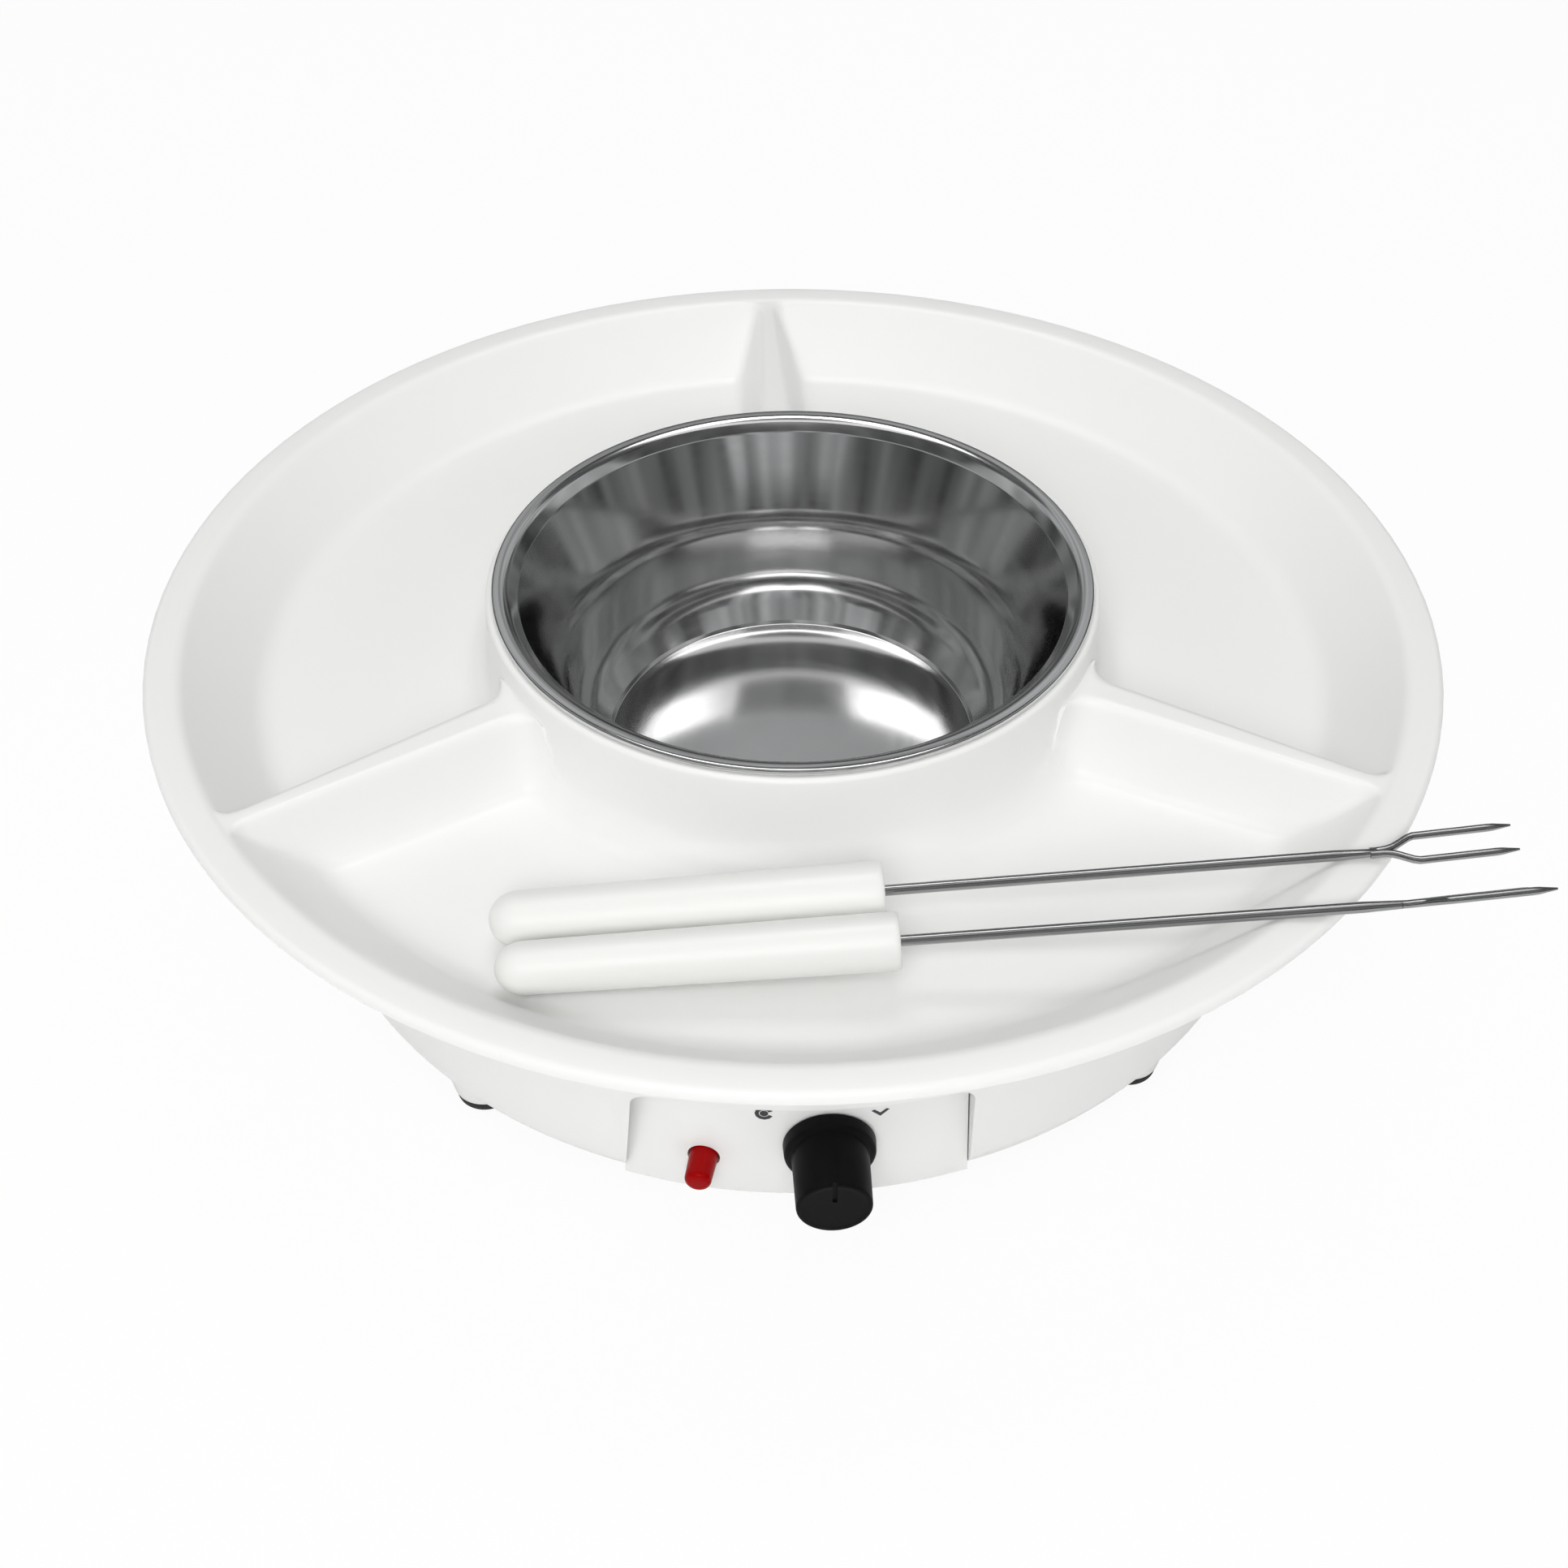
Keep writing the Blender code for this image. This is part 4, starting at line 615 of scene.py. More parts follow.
def placed(piece, body, slot, *replaced, material=None):
    """Finish a piece, ride it on its body and let it stand for its CAD nodes."""
    piece.data.materials.clear()
    piece.data.materials.append(MATERIALS[material or slot])
    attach(piece, body)
    if replaced:
        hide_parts(*replaced)


# Serving tray

def blend_max(first, second, width):
    """Smooth maximum of two heights."""
    if width <= 0:
        return max(first, second)
    share = max(width - abs(first - second), 0.0) / width
    return max(first, second) + share * share * width / 4


def blend_min(first, second, width):
    return -blend_max(-first, -second, width)


def divider_crest(reach):
    """Half width of a divider's crest, with rounded ends towards collar and wall."""
    start = COLLAR_BORE + COLLAR_TOP_WALL + COLLAR_DRAFT / 2
    end = TRAY_RADIUS - RIM_WIDTH
    along = min(max((reach - start) / (end - start), 0.0), 1.0)
    half = DIVIDER_CREST[0] + (DIVIDER_CREST[1] - DIVIDER_CREST[0]) * along
    for distance, fillet in ((reach - start, DIVIDER_END_FILLET[0]), (end - reach, DIVIDER_END_FILLET[1])):
        short = min(max(fillet - distance, 0.0), fillet)
        half += fillet - sqrt(fillet ** 2 - short ** 2)
    return half


def divider_top(reach):
    start = COLLAR_BORE + COLLAR_TOP_WALL
    end = TRAY_RADIUS - RIM_WIDTH
    along = min(max((reach - start) / (end - start), 0.0), 1.0)
    tops = (COLLAR_TOP - DIVIDER_DROP[0], TRAY_TOP - DIVIDER_DROP[1])
    return tops[0] + (tops[1] - tops[0]) * along


def ridge_height(sideways, reach):
    """Height of a divider's outside at a place beside its centre line."""
    top = divider_top(reach)
    steep = (top - TRAY_FLOOR) / DIVIDER_DRAFT
    flank = top - (abs(sideways) - divider_crest(reach)) * steep
    return blend_min(top, flank, DIVIDER_CREST_BLEND)


def hollow_height(sideways, reach):
    """Height of the hollow under a divider."""
    top = TRAY_TOP - TRAY_WALL * 2
    crest = DIVIDER_CREST[0] * HOLLOW_CREST
    flank = top - (abs(sideways) - crest) * HOLLOW_STEEP
    inner = COLLAR_BORE + COLLAR_TOP_WALL + COLLAR_DRAFT + COLLAR_FILLET
    outer = TRAY_RADIUS - RIM_WIDTH - SLOPE_RUN - TRAY_WALL * 2
    ends = min(reach - inner, outer - reach) * HOLLOW_END_STEEP + TRAY_UNDERSIDE
    return blend_min(top, min(flank, ends), HOLLOW_BLEND)


def tray_outline():
    """Closed outline of (radius, height, side), where side says which dividers shape it."""
    angle = atan2(TRAY_TOP - TRAY_FLOOR, SLOPE_RUN)
    floor_edge = TRAY_RADIUS - RIM_WIDTH - SLOPE_RUN
    flange_under = TRAY_TOP - TRAY_WALL
    lip_bottom = TRAY_TOP - TRAY_LIP_HEIGHT
    collar_outer = COLLAR_BORE + COLLAR_TOP_WALL
    rib_outer = housing_radius(HOUSING_TOP) - HOUSING_WALL - SLIP
    rib_inner = rib_outer - TRAY_RIB_WIDTH
    rib_bottom = TRAY_UNDERSIDE - TRAY_RIB_DEPTH
    under_top = floor_edge + TRAY_WALL / sin(angle) + (flange_under - TRAY_FLOOR) / tan(angle)
    corners = [
        (COLLAR_BORE, TRAY_UNDERSIDE, 0),
        (COLLAR_BORE, COLLAR_TOP, 0.0008),
        (collar_outer, COLLAR_TOP, 0.0012),
        (collar_outer + COLLAR_DRAFT, TRAY_FLOOR, COLLAR_FILLET),
        (floor_edge, TRAY_FLOOR, FLOOR_FILLET),
        (TRAY_RADIUS - RIM_WIDTH, TRAY_TOP, 0.0045),
        (TRAY_RADIUS, TRAY_TOP, 0.0024),
        (TRAY_RADIUS, lip_bottom, 0.0006),
        (TRAY_RADIUS - TRAY_LIP_WIDTH, lip_bottom, 0),
        (TRAY_RADIUS - TRAY_LIP_WIDTH, flange_under, 0),
        (under_top, flange_under, 0.003),
        (floor_edge + TRAY_WALL * tan(angle / 2), TRAY_UNDERSIDE, FLOOR_FILLET),
        (rib_outer, TRAY_UNDERSIDE, 0),
        (rib_outer, rib_bottom, 0),
        (rib_inner, rib_bottom, 0),
        (rib_inner, TRAY_UNDERSIDE, 0),
    ]
    outline = rounded(corners, 7)
    crown = max(range(len(outline)), key=lambda index: outline[index].x)
    rows = []
    for index, point in enumerate(outline):
        following = outline[(index + 1) % len(outline)]
        pieces = max(1, int((following - point).length / TRAY_STEP))
        for step in range(pieces):
            here = point.lerp(following, step / pieces)
            side = "plain"
            if index < crown and here.x > collar_outer and here.y > TRAY_FLOOR - GAP:
                side = "top"
            if index > crown and here.x < floor_edge:
                side = "under"
            rows.append((here.x, here.y, side))
    return rows


def tray_lanes():
    """Lines across one divider and out to the middle of the compartments beside it."""
    beside = [(0.0, 0.0), (0.45, 0.0), (0.8, 0.0), (1.0, 0.0), (1.0, 0.0006), (1.0, 0.0014), (1.0, 0.0024),
              (1.0, 0.0034), (1.0, 0.0044), (1.0, 0.0054), (1.0, 0.0066), (1.0, 0.0082), (1.0, 0.0105),
              (1.0, 0.0140)]
    steps = 16
    lanes = [(factor, offset, 0.0) for factor, offset in beside]
    lanes += [(*beside[-1], step / steps) for step in range(1, steps + 1)]
    half_sector = pi / DIVIDERS

    def turn(lane, radius):
        factor, offset, share = lane
        reach = max(radius, COLLAR_BORE + COLLAR_TOP_WALL)
        edge = asin(min((divider_crest(reach) * factor + offset) / reach, 0.9))
        return edge + (half_sector - edge) * share

    left = [(lane, -1) for lane in reversed(lanes[1:-1])]
    return left + [(lane, 1) for lane in lanes], turn


def make_tray():
    rows = tray_outline()
    lanes, turn = tray_lanes()
    outer_end = TRAY_RADIUS - RIM_WIDTH
    columns = [(degrees, lane, side) for degrees in spaced(DIVIDERS, 180.0) for lane, side in lanes]
    work = bmesh.new()
    grid = []
    for radius, height, shaped in rows:
        row = []
        for degrees, lane, side in columns:
            away = turn(lane, radius) * side
            angle = radians(degrees) + away
            sideways = radius * sin(away)
            reach = radius * cos(away)
            level = height
            if shaped == "top" and reach < outer_end:
                at_collar = (radius - COLLAR_BORE - COLLAR_TOP_WALL) / BLEND_FADE[0]
                at_wall = (outer_end + BLEND_PAST_WALL - radius) / BLEND_FADE[1]
                width = DIVIDER_FOOT_BLEND * min(max(min(at_collar, at_wall), 0.0), 1.0)
                level = blend_max(height, ridge_height(sideways, reach), width)
            if shaped == "under":
                level = blend_max(height, hollow_height(sideways, reach), HOLLOW_EDGE_BLEND)
            row.append(work.verts.new((radius * sin(angle), -radius * cos(angle), level)))
        grid.append(row)
    count = len(columns)
    for index in range(len(grid)):
        first, second = grid[index - 1], grid[index]
        for k in range(count):
            work.faces.new((first[k - 1], first[k], second[k], second[k - 1]))
    tray = add_object("tray_fine", work, 48)
    placed(tray, "tray", "white_plastic", "serving_tray")


# Pot

def make_pot():
    edge_height = COLLAR_TOP + GAP
    line = rounded([
        (0, POT_FLOOR, 0),
        (POT_FLOOR_RADIUS - POT_FLOOR_STEP, POT_FLOOR, 0.0004),
        (POT_FLOOR_RADIUS, POT_FLOOR + POT_FLOOR_STEP, 0.0005),
        (POT_CORNER_RADIUS, POT_CORNER_HEIGHT, POT_CORNER_FILLET),
        (POT_SHOULDER_RADIUS, POT_SHOULDER_HEIGHT, POT_SHOULDER_FILLET),
        (POT_MOUTH_RADIUS, POT_MOUTH_HEIGHT, POT_MOUTH_FILLET),
        (POT_CROWN_RADIUS, POT_RIM_TOP, POT_CROWN_FILLET),
        (POT_RIM_RADIUS, POT_RIM_TOP, POT_RIM_FILLET),
        (POT_RIM_RADIUS, edge_height, 0),
    ], 9)
    pot = turned("pot_fine", thickened(line, POT_WALL), ROUND_LARGE, 60)
    placed(pot, "pot", "polished_steel", "pot")


# Housing and panel

def housing_line(inset):
    return [
        (HOUSING_FOOT_RADIUS - inset, HOUSING_BOTTOM, 0.0008),
        (HOUSING_KNEE_RADIUS - inset, HOUSING_KNEE_HEIGHT, HOUSING_KNEE_FILLET - inset),
        (HOUSING_TOP_RADIUS - inset, HOUSING_TOP, 0.0007),
    ]


def panel_outline(grow):
    """Front outline of the control panel as (x, z), grown by a clearance."""
    return rounded([
        (PANEL_LEFT[0] - grow, PANEL_BOTTOM - grow, 0),
        (PANEL_RIGHT[0] + grow, PANEL_BOTTOM - grow, 0),
        (PANEL_RIGHT[1] + grow, PANEL_TOP + grow, PANEL_CORNER + grow),
        (PANEL_LEFT[1] - grow, PANEL_TOP + grow, PANEL_CORNER + grow),
    ])


def curved_block(name, outline, inner, outer):
    """Part of a ring between two radii, with this outline seen from the front."""
    block = prism(name, outline, -outer - 0.01, -inner * 0.6, "xzy")
    heights = [point[1] for point in outline]
    low = min(heights) - CUT_MARGIN
    high = max(heights) + CUT_MARGIN
    return combine(block, ring("ring", inner, outer, low, high, ROUND_PANEL), "INTERSECT")


def housing_leg(place):
    """Hollow leg that grows out of the lower wall and holds a foot's stem."""
    bore = FOOT_STEM_RADIUS + GAP
    corners = [
        (bore, LEG_BOTTOM, 0),
        (LEG_RADIUS, LEG_BOTTOM, 0.0006),
        (LEG_TOP_RADIUS, HOUSING_BOTTOM + LEG_RISE, 0),
        (bore, HOUSING_BOTTOM + LEG_RISE, 0),
    ]
    leg = turned("leg", rounded(corners, 4), ROUND_SMALL)
    leg.location = place
    inside = HOUSING_FOOT_RADIUS - HOUSING_WALL - GAP
    return combine(leg, disc("inside", inside, FOOT_TOP, LEG_CLEAR_HEIGHT, ROUND_LARGE))


def make_housing():
    ledge_wall = housing_radius(LEDGE_TOP) - HOUSING_WALL
    ledge_bottom = LEDGE_TOP - LEDGE_HEIGHT
    gusset = ledge_bottom - LEDGE_DEPTH
    inner = housing_line(HOUSING_WALL)
    corners = housing_line(0) + [
        inner[2],
        (ledge_wall, LEDGE_TOP, 0),
        (ledge_wall - LEDGE_DEPTH, LEDGE_TOP, 0),
        (ledge_wall - LEDGE_DEPTH, ledge_bottom, 0),
        (housing_radius(gusset) - HOUSING_WALL, gusset, 0),
        inner[1],
        inner[0],
    ]
    housing = turned("housing_fine", rounded(corners, 8), ROUND_LARGE)
    body = turned("body", rounded([(0, HOUSING_BOTTOM, 0)] + housing_line(0) + [(0, HOUSING_TOP, 0)], 8))
    seat = curved_block("seat", panel_outline(SEAT_WIDTH), SEAT_BACK, TRAY_RADIUS)
    combine(housing, combine(seat, body, "INTERSECT"), "UNION")
    below = HOUSING_BOTTOM - CUT_MARGIN * 2
    outline = [(x, below if z < PANEL_BOTTOM else z) for x, z in panel_outline(GAP)]
    combine(housing, curved_block("pocket", outline, SEAT_FRONT, TRAY_RADIUS))
    combine(housing, prism("window", panel_outline(-SEAT_WIDTH), -TRAY_RADIUS, -SEAT_BACK * 0.8, "xzy"))
    for degrees in spaced(4, 45.0):
        combine(housing, housing_leg(around(FOOT_CIRCLE, degrees)), "UNION")
    bore = disc("bore", GLAND_NECK_RADIUS + GAP, *GLAND_HOLE_SPAN)
    bore.rotation_euler.x = -pi / 2
    bore.location.z = GLAND_HEIGHT
    combine(housing, bore)
    smooth(housing, 30)
    placed(housing, "base", "white_plastic", "lower_housing")


def lamp_axis():
    """Placement whose +Z runs outward through the lamp."""
    turn = Matrix.Rotation(radians(LAMP_DEGREES), 4, "Z") @ Matrix.Rotation(pi / 2, 4, "X")
    return Matrix.Translation((0, 0, LAMP_HEIGHT)) @ turn


def make_panel():
    panel = curved_block("panel_fine", panel_outline(0), PANEL_BACK, PANEL_RADIUS)
    bevel_edges(panel, PANEL_BEVEL, 3)
    knob_hole = disc("hole", BUSH_RADIUS + GAP, *PANEL_HOLE_SPAN)
    knob_hole.rotation_euler.x = pi / 2
    knob_hole.location = (KNOB_X, 0, KNOB_HEIGHT)
    combine(panel, knob_hole)
    lens_hole = disc("hole", LENS_RADIUS + GAP, *PANEL_HOLE_SPAN)
    lens_hole.matrix_world = lamp_axis()
    combine(panel, lens_hole)
    smooth(panel, 40)
    placed(panel, "base", "white_plastic", "control_panel")


def on_panel(x, height, proud):
    """Point at a distance in front of the panel's face."""
    radius = PANEL_RADIUS + proud
    return Vector((x, -sqrt(radius ** 2 - x ** 2), height))


def printed(name, centre, quads):
    """Thin printed shape on the panel's face, from (x, z) quads."""
    work = bmesh.new()
    for quad in quads:
        low, high = ([work.verts.new(on_panel(centre[0] + x, centre[1] + z, proud)) for x, z in quad]
                     for proud in (MARK_SUNK, MARK_PROUD))
        for i in range(len(quad)):
            work.faces.new((low[i - 1], low[i], high[i], high[i - 1]))
        work.faces.new(low)
        work.faces.new(high)
    mark = add_object(name, work)
    placed(mark, "base", "black_plastic", material="print_grey")


def arc_strips(radius, first, last, count=10):
    """Quads of the stroke's width along an arc, in degrees."""
    strips = []
    inner = radius - MARK_STROKE / 2
    outer = radius + MARK_STROKE / 2
    for k in range(count):
        a, b = (radians(first + (last - first) * (k + t) / count) for t in (0, 1))
        strips.append([(inner * cos(a), inner * sin(a)), (outer * cos(a), outer * sin(a)),
                       (outer * cos(b), outer * sin(b)), (inner * cos(b), inner * sin(b))])
    return strips


def make_prints():
    """Plain signs for low and high heat above the knob, left and right."""
    ring_and_dot = arc_strips(MARK_RING_RADIUS, *MARK_RING_DEGREES) + arc_strips(MARK_DOT_RADIUS, 0, 360)
    printed("print_low", MARK_LEFT, ring_and_dot)
    printed("print_high", MARK_RIGHT, MARK_WEDGE)


def make_knob():
    corners = [
        (0, KNOB_RECESS_DEPTH, 0),
        (KNOB_RECESS_RADIUS, KNOB_RECESS_DEPTH, 0),
        (KNOB_RECESS_RADIUS, 0, 0),
        (KNOB_FLANGE_RADIUS, 0, 0.0004),
        (KNOB_FLANGE_RADIUS - 0.0002, KNOB_FLANGE_THICKNESS, 0.0012),
        (KNOB_BARREL_RADIUS, KNOB_FLANGE_THICKNESS + 0.0004, 0.0004),
        (KNOB_END_RADIUS, KNOB_LENGTH, 0.0012),
        (KNOB_END_RADIUS - 0.0016, KNOB_LENGTH - 0.0002, 0.0005),
        (0, KNOB_LENGTH - 0.0003, 0),
    ]
    knob = turned("knob_fine", rounded(corners, 5), ROUND_MEDIUM)
    half = KNOB_MARK_WIDTH / 2
    low = (-half, KNOB_MARK_START, KNOB_LENGTH - KNOB_MARK_DEPTH)
    high = (half, KNOB_END_RADIUS + CUT_MARGIN, KNOB_LENGTH + CUT_MARGIN)
    combine(knob, box("mark", low, high))
    smooth(knob, 38)
    knob.rotation_euler.x = pi / 2
    knob.location = (KNOB_X, KNOB_BACK, KNOB_HEIGHT)
    placed(knob, "knob", "black_plastic", "knob")


def make_lens():
    corners = [
        (0, PANEL_BACK - 0.0015, 0),
        (LENS_RADIUS, PANEL_BACK - 0.0015, 0),
        (LENS_TIP_RADIUS, PANEL_RADIUS + LENS_REACH, LENS_TIP_RADIUS * 0.75),
        (0, PANEL_RADIUS + LENS_REACH, 0),
    ]
    lens = turned("lens_fine", rounded(corners, 8), ROUND_MEDIUM)
    lens.matrix_world = lamp_axis()
    placed(lens, "base", "red_lens", "indicator_lens")


# Feet, cover and screws

def fine_screw(name, length):
    """Pan-head screw that points up, with a cross recess in its head."""
    corners = [
        (0, -SCREW_HEAD_HEIGHT, 0),
        (SCREW_HEAD_RADIUS, -SCREW_HEAD_HEIGHT, SCREW_HEAD_HEIGHT * 0.7),
        (SCREW_HEAD_RADIUS, 0, 0),
        (SCREW_RADIUS, 0, 0),
        (SCREW_RADIUS, length - SCREW_RADIUS, 0),
        (0, length, 0),
    ]
    screw = turned(name, rounded(corners, 5), ROUND_SMALL)
    half = SCREW_SLOT_WIDTH / 2
    reach = SCREW_HEAD_RADIUS * 0.6
    deep = -SCREW_HEAD_HEIGHT * 0.45
    below = -SCREW_HEAD_HEIGHT - CUT_MARGIN
    for across, along in ((half, reach), (reach, half)):
        combine(screw, box("slot", (-across, -along, below), (across, along, deep)))
    smooth(screw)
    return screw


def repeated(shape, name, places, body, slot, replaced):
    """Copies of a shape that share its mesh, one for each CAD node."""
    for index, (place, node) in enumerate(zip(places, replaced)):
        piece = shape
        if index:
            piece = bpy.data.objects.new("%s_%d" % (name, index + 1), shape.data)
            bpy.context.collection.objects.link(piece)
            piece.rotation_euler = shape.rotation_euler
        piece.location = place
        placed(piece, body, slot, node)


def numbered(name, count):
    return ["%s_%d" % (name, index) for index in range(1, count + 1)]


def make_feet():
    corners = [
        (FOOT_HOLE_RADIUS, FOOT_TOP, 0),
        (FOOT_HOLE_RADIUS, FOOT_RECESS_DEPTH, 0),
        (FOOT_RECESS_RADIUS, FOOT_RECESS_DEPTH, 0),
        (FOOT_RECESS_RADIUS, 0, 0.0004),
        (FOOT_RADIUS - 0.0004, 0, 0.0010),
        (FOOT_RADIUS, LEG_BOTTOM - GAP, 0.0003),
        (FOOT_STEM_RADIUS, LEG_BOTTOM - GAP, 0),
        (FOOT_STEM_RADIUS, FOOT_TOP, 0),
    ]
    foot = turned("foot_fine", rounded(corners, 5), ROUND_MEDIUM)
    places = [around(FOOT_CIRCLE, degrees) for degrees in spaced(4, 45.0)]
    repeated(foot, "foot_fine", places, "base", "rubber", numbered("foot", 4))
    screw = fine_screw("cover_screw_fine", COVER_SCREW_LENGTH)
    places = [around(FOOT_CIRCLE, degrees, FOOT_RECESS_DEPTH - GAP) for degrees in spaced(4, 45.0)]
    repeated(screw, "cover_screw_fine", places, "base", "zinc", numbered("cover_screw", 4))


def make_cover():
    radius = SEAT_BACK - SLIP
    cover = disc("cover_fine", radius, COVER_BOTTOM, COVER_TOP, ROUND_LARGE, 0.0004)
    half = VENT_WIDTH / 2
    inner = VENT_CIRCLE - VENT_LENGTH / 2
    outer = VENT_CIRCLE + VENT_LENGTH / 2
    for degrees in spaced(VENT_SLOTS, 180.0 / VENT_SLOTS):
        corners = [(-half, -inner, half), (half, -inner, half), (half, -outer, half), (-half, -outer, half)]
        slot = prism("slot", rounded(corners, 5), COVER_BOTTOM - CUT_MARGIN, COVER_TOP + CUT_MARGIN)
        slot.rotation_euler.z = radians(degrees)
        combine(cover, slot)
    for degrees in spaced(4, 45.0):
        hole = disc("hole", FOOT_HOLE_RADIUS, COVER_BOTTOM - CUT_MARGIN, COVER_TOP + CUT_MARGIN)
        hole.location = around(FOOT_CIRCLE, degrees)
        combine(cover, hole)
    smooth(cover, 38)
    placed(cover, "base", "white_plastic", "bottom_cover")


# Deck, heat shield and plate, seen when the tray is lifted

def make_inside():
    outer = housing_radius(DECK_BOTTOM) - HOUSING_WALL - SLIP
    corners = [(DECK_HOLE_RADIUS, DECK_BOTTOM, 0), (outer, DECK_BOTTOM, 0.0003),
               (outer, DECK_TOP, 0.0004), (DECK_HOLE_RADIUS, DECK_TOP, 0.0005)]
    deck = turned("deck_fine", rounded(corners, 3))
    screw_circle = housing_radius(LEDGE_TOP) - HOUSING_WALL - LEDGE_DEPTH / 2
    places = [around(screw_circle, degrees, DECK_TOP + GAP) for degrees in spaced(3, 30.0)]
    for place in places:
        hole = disc("hole", SCREW_RADIUS + GAP, DECK_BOTTOM - CUT_MARGIN, DECK_TOP + CUT_MARGIN)
        hole.location = (place.x, place.y, 0)
        combine(deck, hole)
    smooth(deck, 38)
    placed(deck, "base", "cream_plastic", "deck")
    screw = fine_screw("deck_screw_fine", DECK_SCREW_LENGTH)
    screw.rotation_euler.x = pi
    repeated(screw, "deck_screw_fine", places, "base", "zinc", numbered("deck_screw", 3))

    lip = DECK_TOP + GAP
    line = rounded([
        (SHIELD_WIRE_HOLE, SHIELD_FLOOR, 0),
        (SHIELD_RADIUS - SHIELD_TAPER, SHIELD_FLOOR, 0.005),
        (SHIELD_RADIUS, lip + SHIELD_WALL, 0.0014),
        (SHIELD_LIP_RADIUS, lip + SHIELD_WALL, 0),
    ], 6)
    shield = turned("shield_fine", thickened(line, SHIELD_WALL))
    placed(shield, "base", "aluminium", "heat_shield")
    plate = disc("plate_fine", PLATE_RADIUS, PLATE_TOP - PLATE_THICKNESS, PLATE_TOP, ROUND_LARGE, 0.0006)
    placed(plate, "base", "aluminium", "heater_plate")


def make_gland():
    wall = housing_radius(GLAND_HEIGHT)
    rise = housing_radius(GLAND_HEIGHT + GLAND_FLANGE_RADIUS) - wall
    outer_face = wall + rise + GAP
    inner_face = wall - HOUSING_WALL - rise - GLAND_FLANGE_RADIUS ** 2 / wall - GAP
    corners = [
        (GLAND_HOLE_RADIUS, inner_face - GLAND_FLANGE_THICKNESS, 0),
        (GLAND_FLANGE_RADIUS, inner_face - GLAND_FLANGE_THICKNESS, 0.0008),
        (GLAND_FLANGE_RADIUS, inner_face, 0),
        (GLAND_NECK_RADIUS, inner_face, 0),
        (GLAND_NECK_RADIUS, outer_face, 0),
        (GLAND_FLANGE_RADIUS, outer_face, 0),
        (GLAND_FLANGE_RADIUS, outer_face + GLAND_FLANGE_THICKNESS, 0.0014),
        (GLAND_HOLE_RADIUS, outer_face + GLAND_FLANGE_THICKNESS, 0.0010),
    ]
    gland = turned("gland_fine", rounded(corners, 6), ROUND_MEDIUM)
    gland.rotation_euler.x = -pi / 2
    gland.location.z = GLAND_HEIGHT
    placed(gland, "base", "rubber", "cord_grommet")


# Forks

def fork_matrix(place, heading, roll):
    """Placement of a fork: tail on the tray's floor, shaft over the rim."""
    wide, thin = HANDLE_TAIL
    tail = TRAY_FLOOR + hypot(wide * sin(radians(roll)), thin * cos(radians(roll))) + GAP
    over = TRAY_TOP + FORK_WIRE_RADIUS + GAP
    way = Vector((cos(radians(heading)), sin(radians(heading))))
    start = Vector(place)
    along = start.dot(way)
    crest = TRAY_RADIUS - RIM_WIDTH / 2
    reach = -along + sqrt(along ** 2 - start.length_squared + crest ** 2)
    pitch = -atan2(over - tail, reach)
    turn = (Matrix.Rotation(radians(heading), 4, "Z") @ Matrix.Rotation(pitch, 4, "Y")
            @ Matrix.Rotation(radians(roll), 4, "X"))
    return Matrix.Translation((*place, tail)) @ turn


def handle_sections(sides=48):
    tail_round = HANDLE_TAIL[0]
    stations = [tail_round * (1 - cos(radians(angle))) for angle in range(3, 91, 6)]
    stations += [HANDLE_LENGTH * share for share in (0.2, 0.4, 0.6, 0.8, 0.95)]
    ends = [(HANDLE_LENGTH - 0.0012, 1.0), (HANDLE_LENGTH - 0.0006, 0.985), (HANDLE_LENGTH - 0.00015, 0.95),
            (HANDLE_LENGTH, 0.90)]
    sections = []
    for x, end in [(x, 1.0) for x in stations] + ends:
        share = x / HANDLE_LENGTH
        wide = HANDLE_TAIL[0] + (HANDLE_FRONT[0] - HANDLE_TAIL[0]) * share
        thin = HANDLE_TAIL[1] + (HANDLE_FRONT[1] - HANDLE_TAIL[1]) * share
        shrink = sqrt(1 - (1 - x / tail_round) ** 2) if x < tail_round else end
        turns = [2 * pi * k / sides for k in range(sides)]
        sections.append([Vector((x, wide * shrink * cos(a), thin * shrink * sin(a))) for a in turns])
    return sections


def tine(side, root, roll):
    lift = Vector((0, sin(radians(roll)), cos(radians(roll)))) * tan(radians(TINE_RISE_DEGREES))
    path = []
    radii = []
    for step in range(-1, TINE_STEPS + 1):
        share = step / TINE_STEPS
        bend = min(max(share, 0.0) / TINE_BEND_SHARE, 1.0)
        ease = TINE_SPREAD * bend * (0.5 - 0.5 * cos(pi * bend))
        forward = TINE_LENGTH * share
        sideways = side * (FORK_WIRE_RADIUS * TINE_ROOT_OFFSET + ease)
        path.append(Vector((root + forward, sideways, 0)) + lift * max(forward, 0.0))
        taper = 1.0 - max(share - TINE_TIP_START, 0.0) / TINE_TIP_SHARE * TINE_TIP_TAPER
        radii.append(FORK_WIRE_RADIUS * TINE_THICKNESS * taper)
    return tube("tine", path, radii)


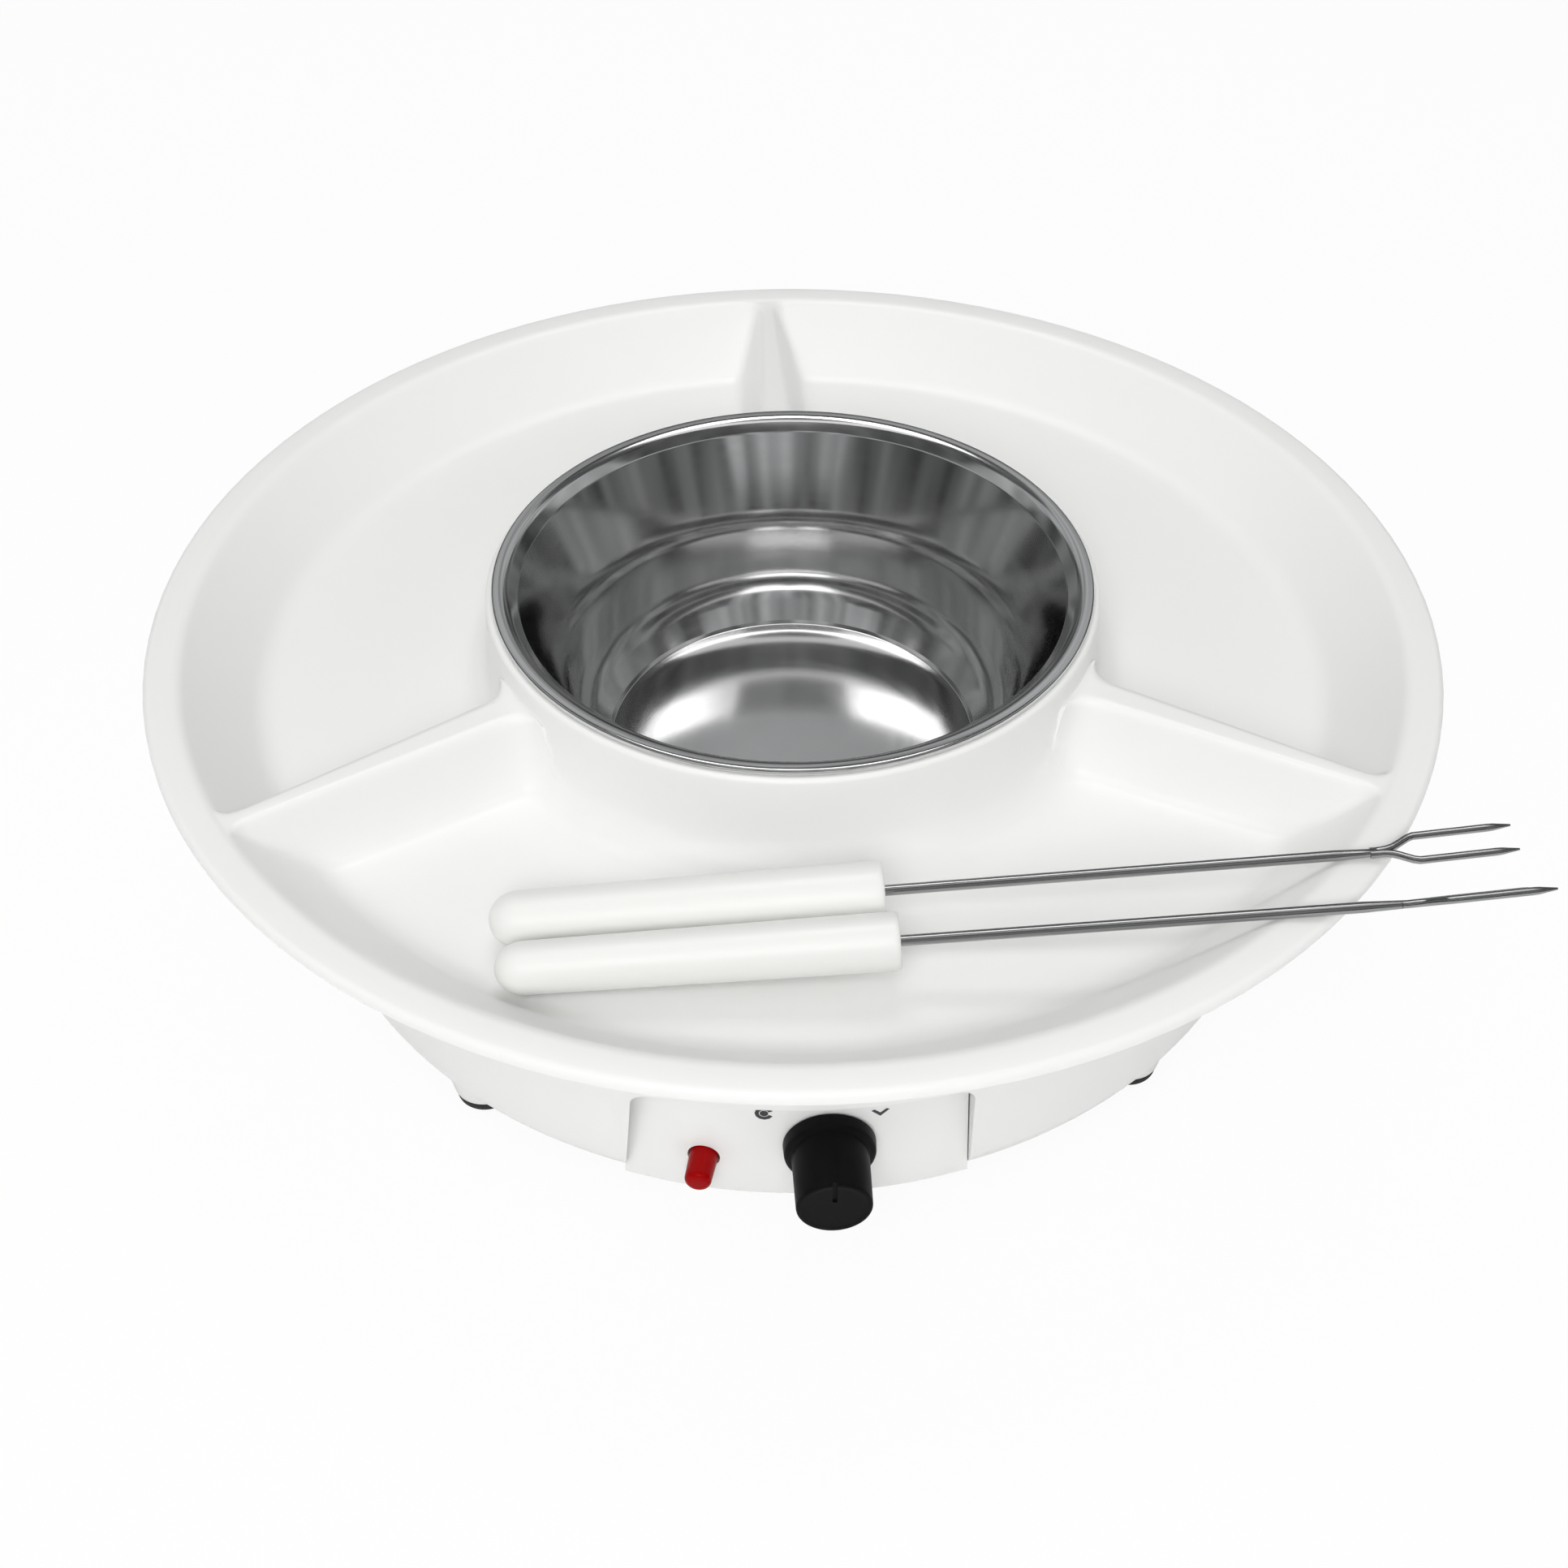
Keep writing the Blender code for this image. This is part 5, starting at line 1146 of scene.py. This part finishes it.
def make_fork(name, place, heading, roll):
    matrix = fork_matrix(place, heading, roll)
    handle = lofted(name + "_handle_fine", handle_sections())
    bore_start = HANDLE_LENGTH - HANDLE_BORE_DEPTH
    bore = disc("bore", FORK_WIRE_RADIUS + GAP, bore_start, HANDLE_LENGTH + CUT_MARGIN)
    bore.rotation_euler.y = pi / 2
    combine(handle, bore)
    smooth(handle, 40)
    handle.matrix_world = matrix
    placed(handle, name, "handle_plastic", name + "_handle")
    root = FORK_LENGTH - TINE_LENGTH
    start = bore_start + GAP
    steps = 12
    path = [Vector((start + (root + 0.0006 - start) * step / steps, 0, 0)) for step in range(steps + 1)]
    wire = tube(name + "_wire_fine", path, [FORK_WIRE_RADIUS] * steps + [FORK_WIRE_RADIUS * 0.7], 24)
    for side in (-1, 1):
        combine(wire, tine(side, root, roll), "UNION")
    smooth(wire, 40)
    wire.matrix_world = matrix
    placed(wire, name, "fork_steel", name + "_tines")


# Stage, light and camera

def stage_material(name, colour, share):
    """Pale floor: mostly plain white to the camera, with the object's shadow kept."""
    made, tree, shader, _ = set_up(name, colour, 0.8)
    glow = tree.nodes.new("ShaderNodeEmission")
    glow.inputs["Color"].default_value = (1, 1, 1, 1)
    glow.inputs["Strength"].default_value = 1.0
    path = tree.nodes.new("ShaderNodeLightPath")
    amount = tree.nodes.new("ShaderNodeMath")
    amount.operation = "MULTIPLY"
    amount.inputs[1].default_value = share
    tree.links.new(path.outputs["Is Camera Ray"], amount.inputs[0])
    mix = tree.nodes.new("ShaderNodeMixShader")
    tree.links.new(amount.outputs["Value"], mix.inputs["Fac"])
    tree.links.new(shader.outputs["BSDF"], mix.inputs[1])
    tree.links.new(glow.outputs["Emission"], mix.inputs[2])
    tree.links.new(mix.outputs["Shader"], tree.nodes["Material Output"].inputs["Surface"])
    return made


def make_floor():
    turns = [2 * pi * k / FLOOR_SIDES for k in range(FLOOR_SIDES)]
    outline = [(FLOOR_RADIUS * cos(a), FLOOR_RADIUS * sin(a)) for a in turns]
    floor = prism("floor", outline, *FLOOR_LEVELS)
    floor.data.materials.append(stage_material("floor", FLOOR_COLOUR, FLOOR_WHITE))


def make_world():
    """White background that lights the object less than the camera and reflections see it."""
    world = bpy.data.worlds.new("studio")
    world.use_nodes = True
    bpy.context.scene.world = world
    tree = world.node_tree
    background = tree.nodes["Background"]
    background.inputs["Color"].default_value = (1, 1, 1, 1)
    path = tree.nodes.new("ShaderNodeLightPath")
    seen = tree.nodes.new("ShaderNodeMath")
    seen.operation = "MAXIMUM"
    tree.links.new(path.outputs["Is Camera Ray"], seen.inputs[0])
    tree.links.new(path.outputs["Is Glossy Ray"], seen.inputs[1])
    either = tree.nodes.new("ShaderNodeMath")
    either.operation = "MAXIMUM"
    tree.links.new(seen.outputs["Value"], either.inputs[0])
    tree.links.new(path.outputs["Is Transmission Ray"], either.inputs[1])
    strength = tree.nodes.new("ShaderNodeMapRange")
    strength.inputs["To Min"].default_value = ROOM_LIGHT
    strength.inputs["To Max"].default_value = 1.0
    tree.links.new(either.outputs["Value"], strength.inputs["Value"])
    tree.links.new(strength.outputs["Result"], background.inputs["Strength"])


def aimed(place, target):
    return (Vector(target) - Vector(place)).to_track_quat("-Z", "Y")


def area_light(name, place, size, power, mirrored):
    """Soft round lamp, seen in reflections only if asked."""
    data = bpy.data.lights.new(name, "AREA")
    data.shape = "DISK"
    data.size = size
    data.energy = power
    light = bpy.data.objects.new(name, data)
    bpy.context.collection.objects.link(light)
    light.location = place
    light.rotation_mode = "QUATERNION"
    light.rotation_quaternion = aimed(place, LAMP_TARGET)
    light.visible_glossy = mirrored


def only_mirrored(piece, stretch, low, high):
    """Grey glow with soft bands on a piece of the studio that only reflections see."""
    made = bpy.data.materials.new(piece.name)
    made.use_nodes = True
    tree = made.node_tree
    tree.nodes.remove(tree.nodes["Principled BSDF"])
    glow = tree.nodes.new("ShaderNodeEmission")
    glow.inputs["Color"].default_value = GLOW_COLOUR
    where = tree.nodes.new("ShaderNodeTexCoord").outputs["Object"]
    bands = noise(tree, where, GLOW_BANDS, 1.0, stretch)
    tree.links.new(ranged(tree, bands, low, high), glow.inputs["Strength"])
    tree.links.new(glow.outputs["Emission"], tree.nodes["Material Output"].inputs["Surface"])
    piece.data.materials.append(made)
    piece.visible_camera = False
    piece.visible_diffuse = False
    piece.visible_transmission = False
    piece.visible_shadow = False


def studio_card(name):
    """Tilted card in front of the object and above it."""
    half = [size / 2 for size in CARD_SIZE]
    card = box(name, [-size for size in half], half)
    card.location = CARD_PLACE
    card.rotation_mode = "QUATERNION"
    card.rotation_quaternion = aimed(CARD_PLACE, CARD_TARGET)
    only_mirrored(card, (1.0, 0.12, 1.0), *CARD_GLOW)


def studio_zone(name, first, last, low, high):
    """Zone of a dome round the object, between two heights in degrees."""
    angles = [radians(first + (last - first) * step / DOME_STEPS) for step in range(DOME_STEPS + 1)]
    inner = [(DOME_RADIUS * cos(angle), DOME_RADIUS * sin(angle)) for angle in angles]
    outer = [(x * DOME_SHELL, z * DOME_SHELL) for x, z in inner]
    zone = turned(name, inner + outer[::-1], ROUND_MEDIUM)
    only_mirrored(zone, (1.0, 1.0, 0.12), low, high)


def make_camera():
    data = bpy.data.cameras.new("camera")
    data.sensor_width = 36.0
    data.sensor_fit = "AUTO"
    data.lens = CAMERA_LENS
    data.clip_start = 0.01
    data.clip_end = 20.0
    camera = bpy.data.objects.new("camera", data)
    bpy.context.collection.objects.link(camera)
    camera.location = CAMERA_PLACE
    camera.rotation_mode = "QUATERNION"
    camera.rotation_quaternion = aimed(CAMERA_PLACE, CAMERA_TARGET)
    bpy.context.scene.camera = camera


make_camera()
make_world()
make_floor()
for lamp, setting in LAMPS.items():
    area_light(lamp, *setting)
for zone, setting in ZONES.items():
    studio_zone(zone, *setting)
studio_card("card_high")
bpy.context.scene.view_settings.view_transform = "Standard"

for node in frame["record"]["subparts"]:
    piece = nodes[node["node"]]
    piece.data.materials.clear()
    piece.data.materials.append(MATERIALS[node["material_slot"]])

make_tray()
make_pot()
make_housing()
make_panel()
make_prints()
make_knob()
make_lens()
make_feet()
make_cover()
make_inside()
make_gland()
for fork, (place, heading, roll) in FORKS.items():
    make_fork(fork, place, heading, roll)
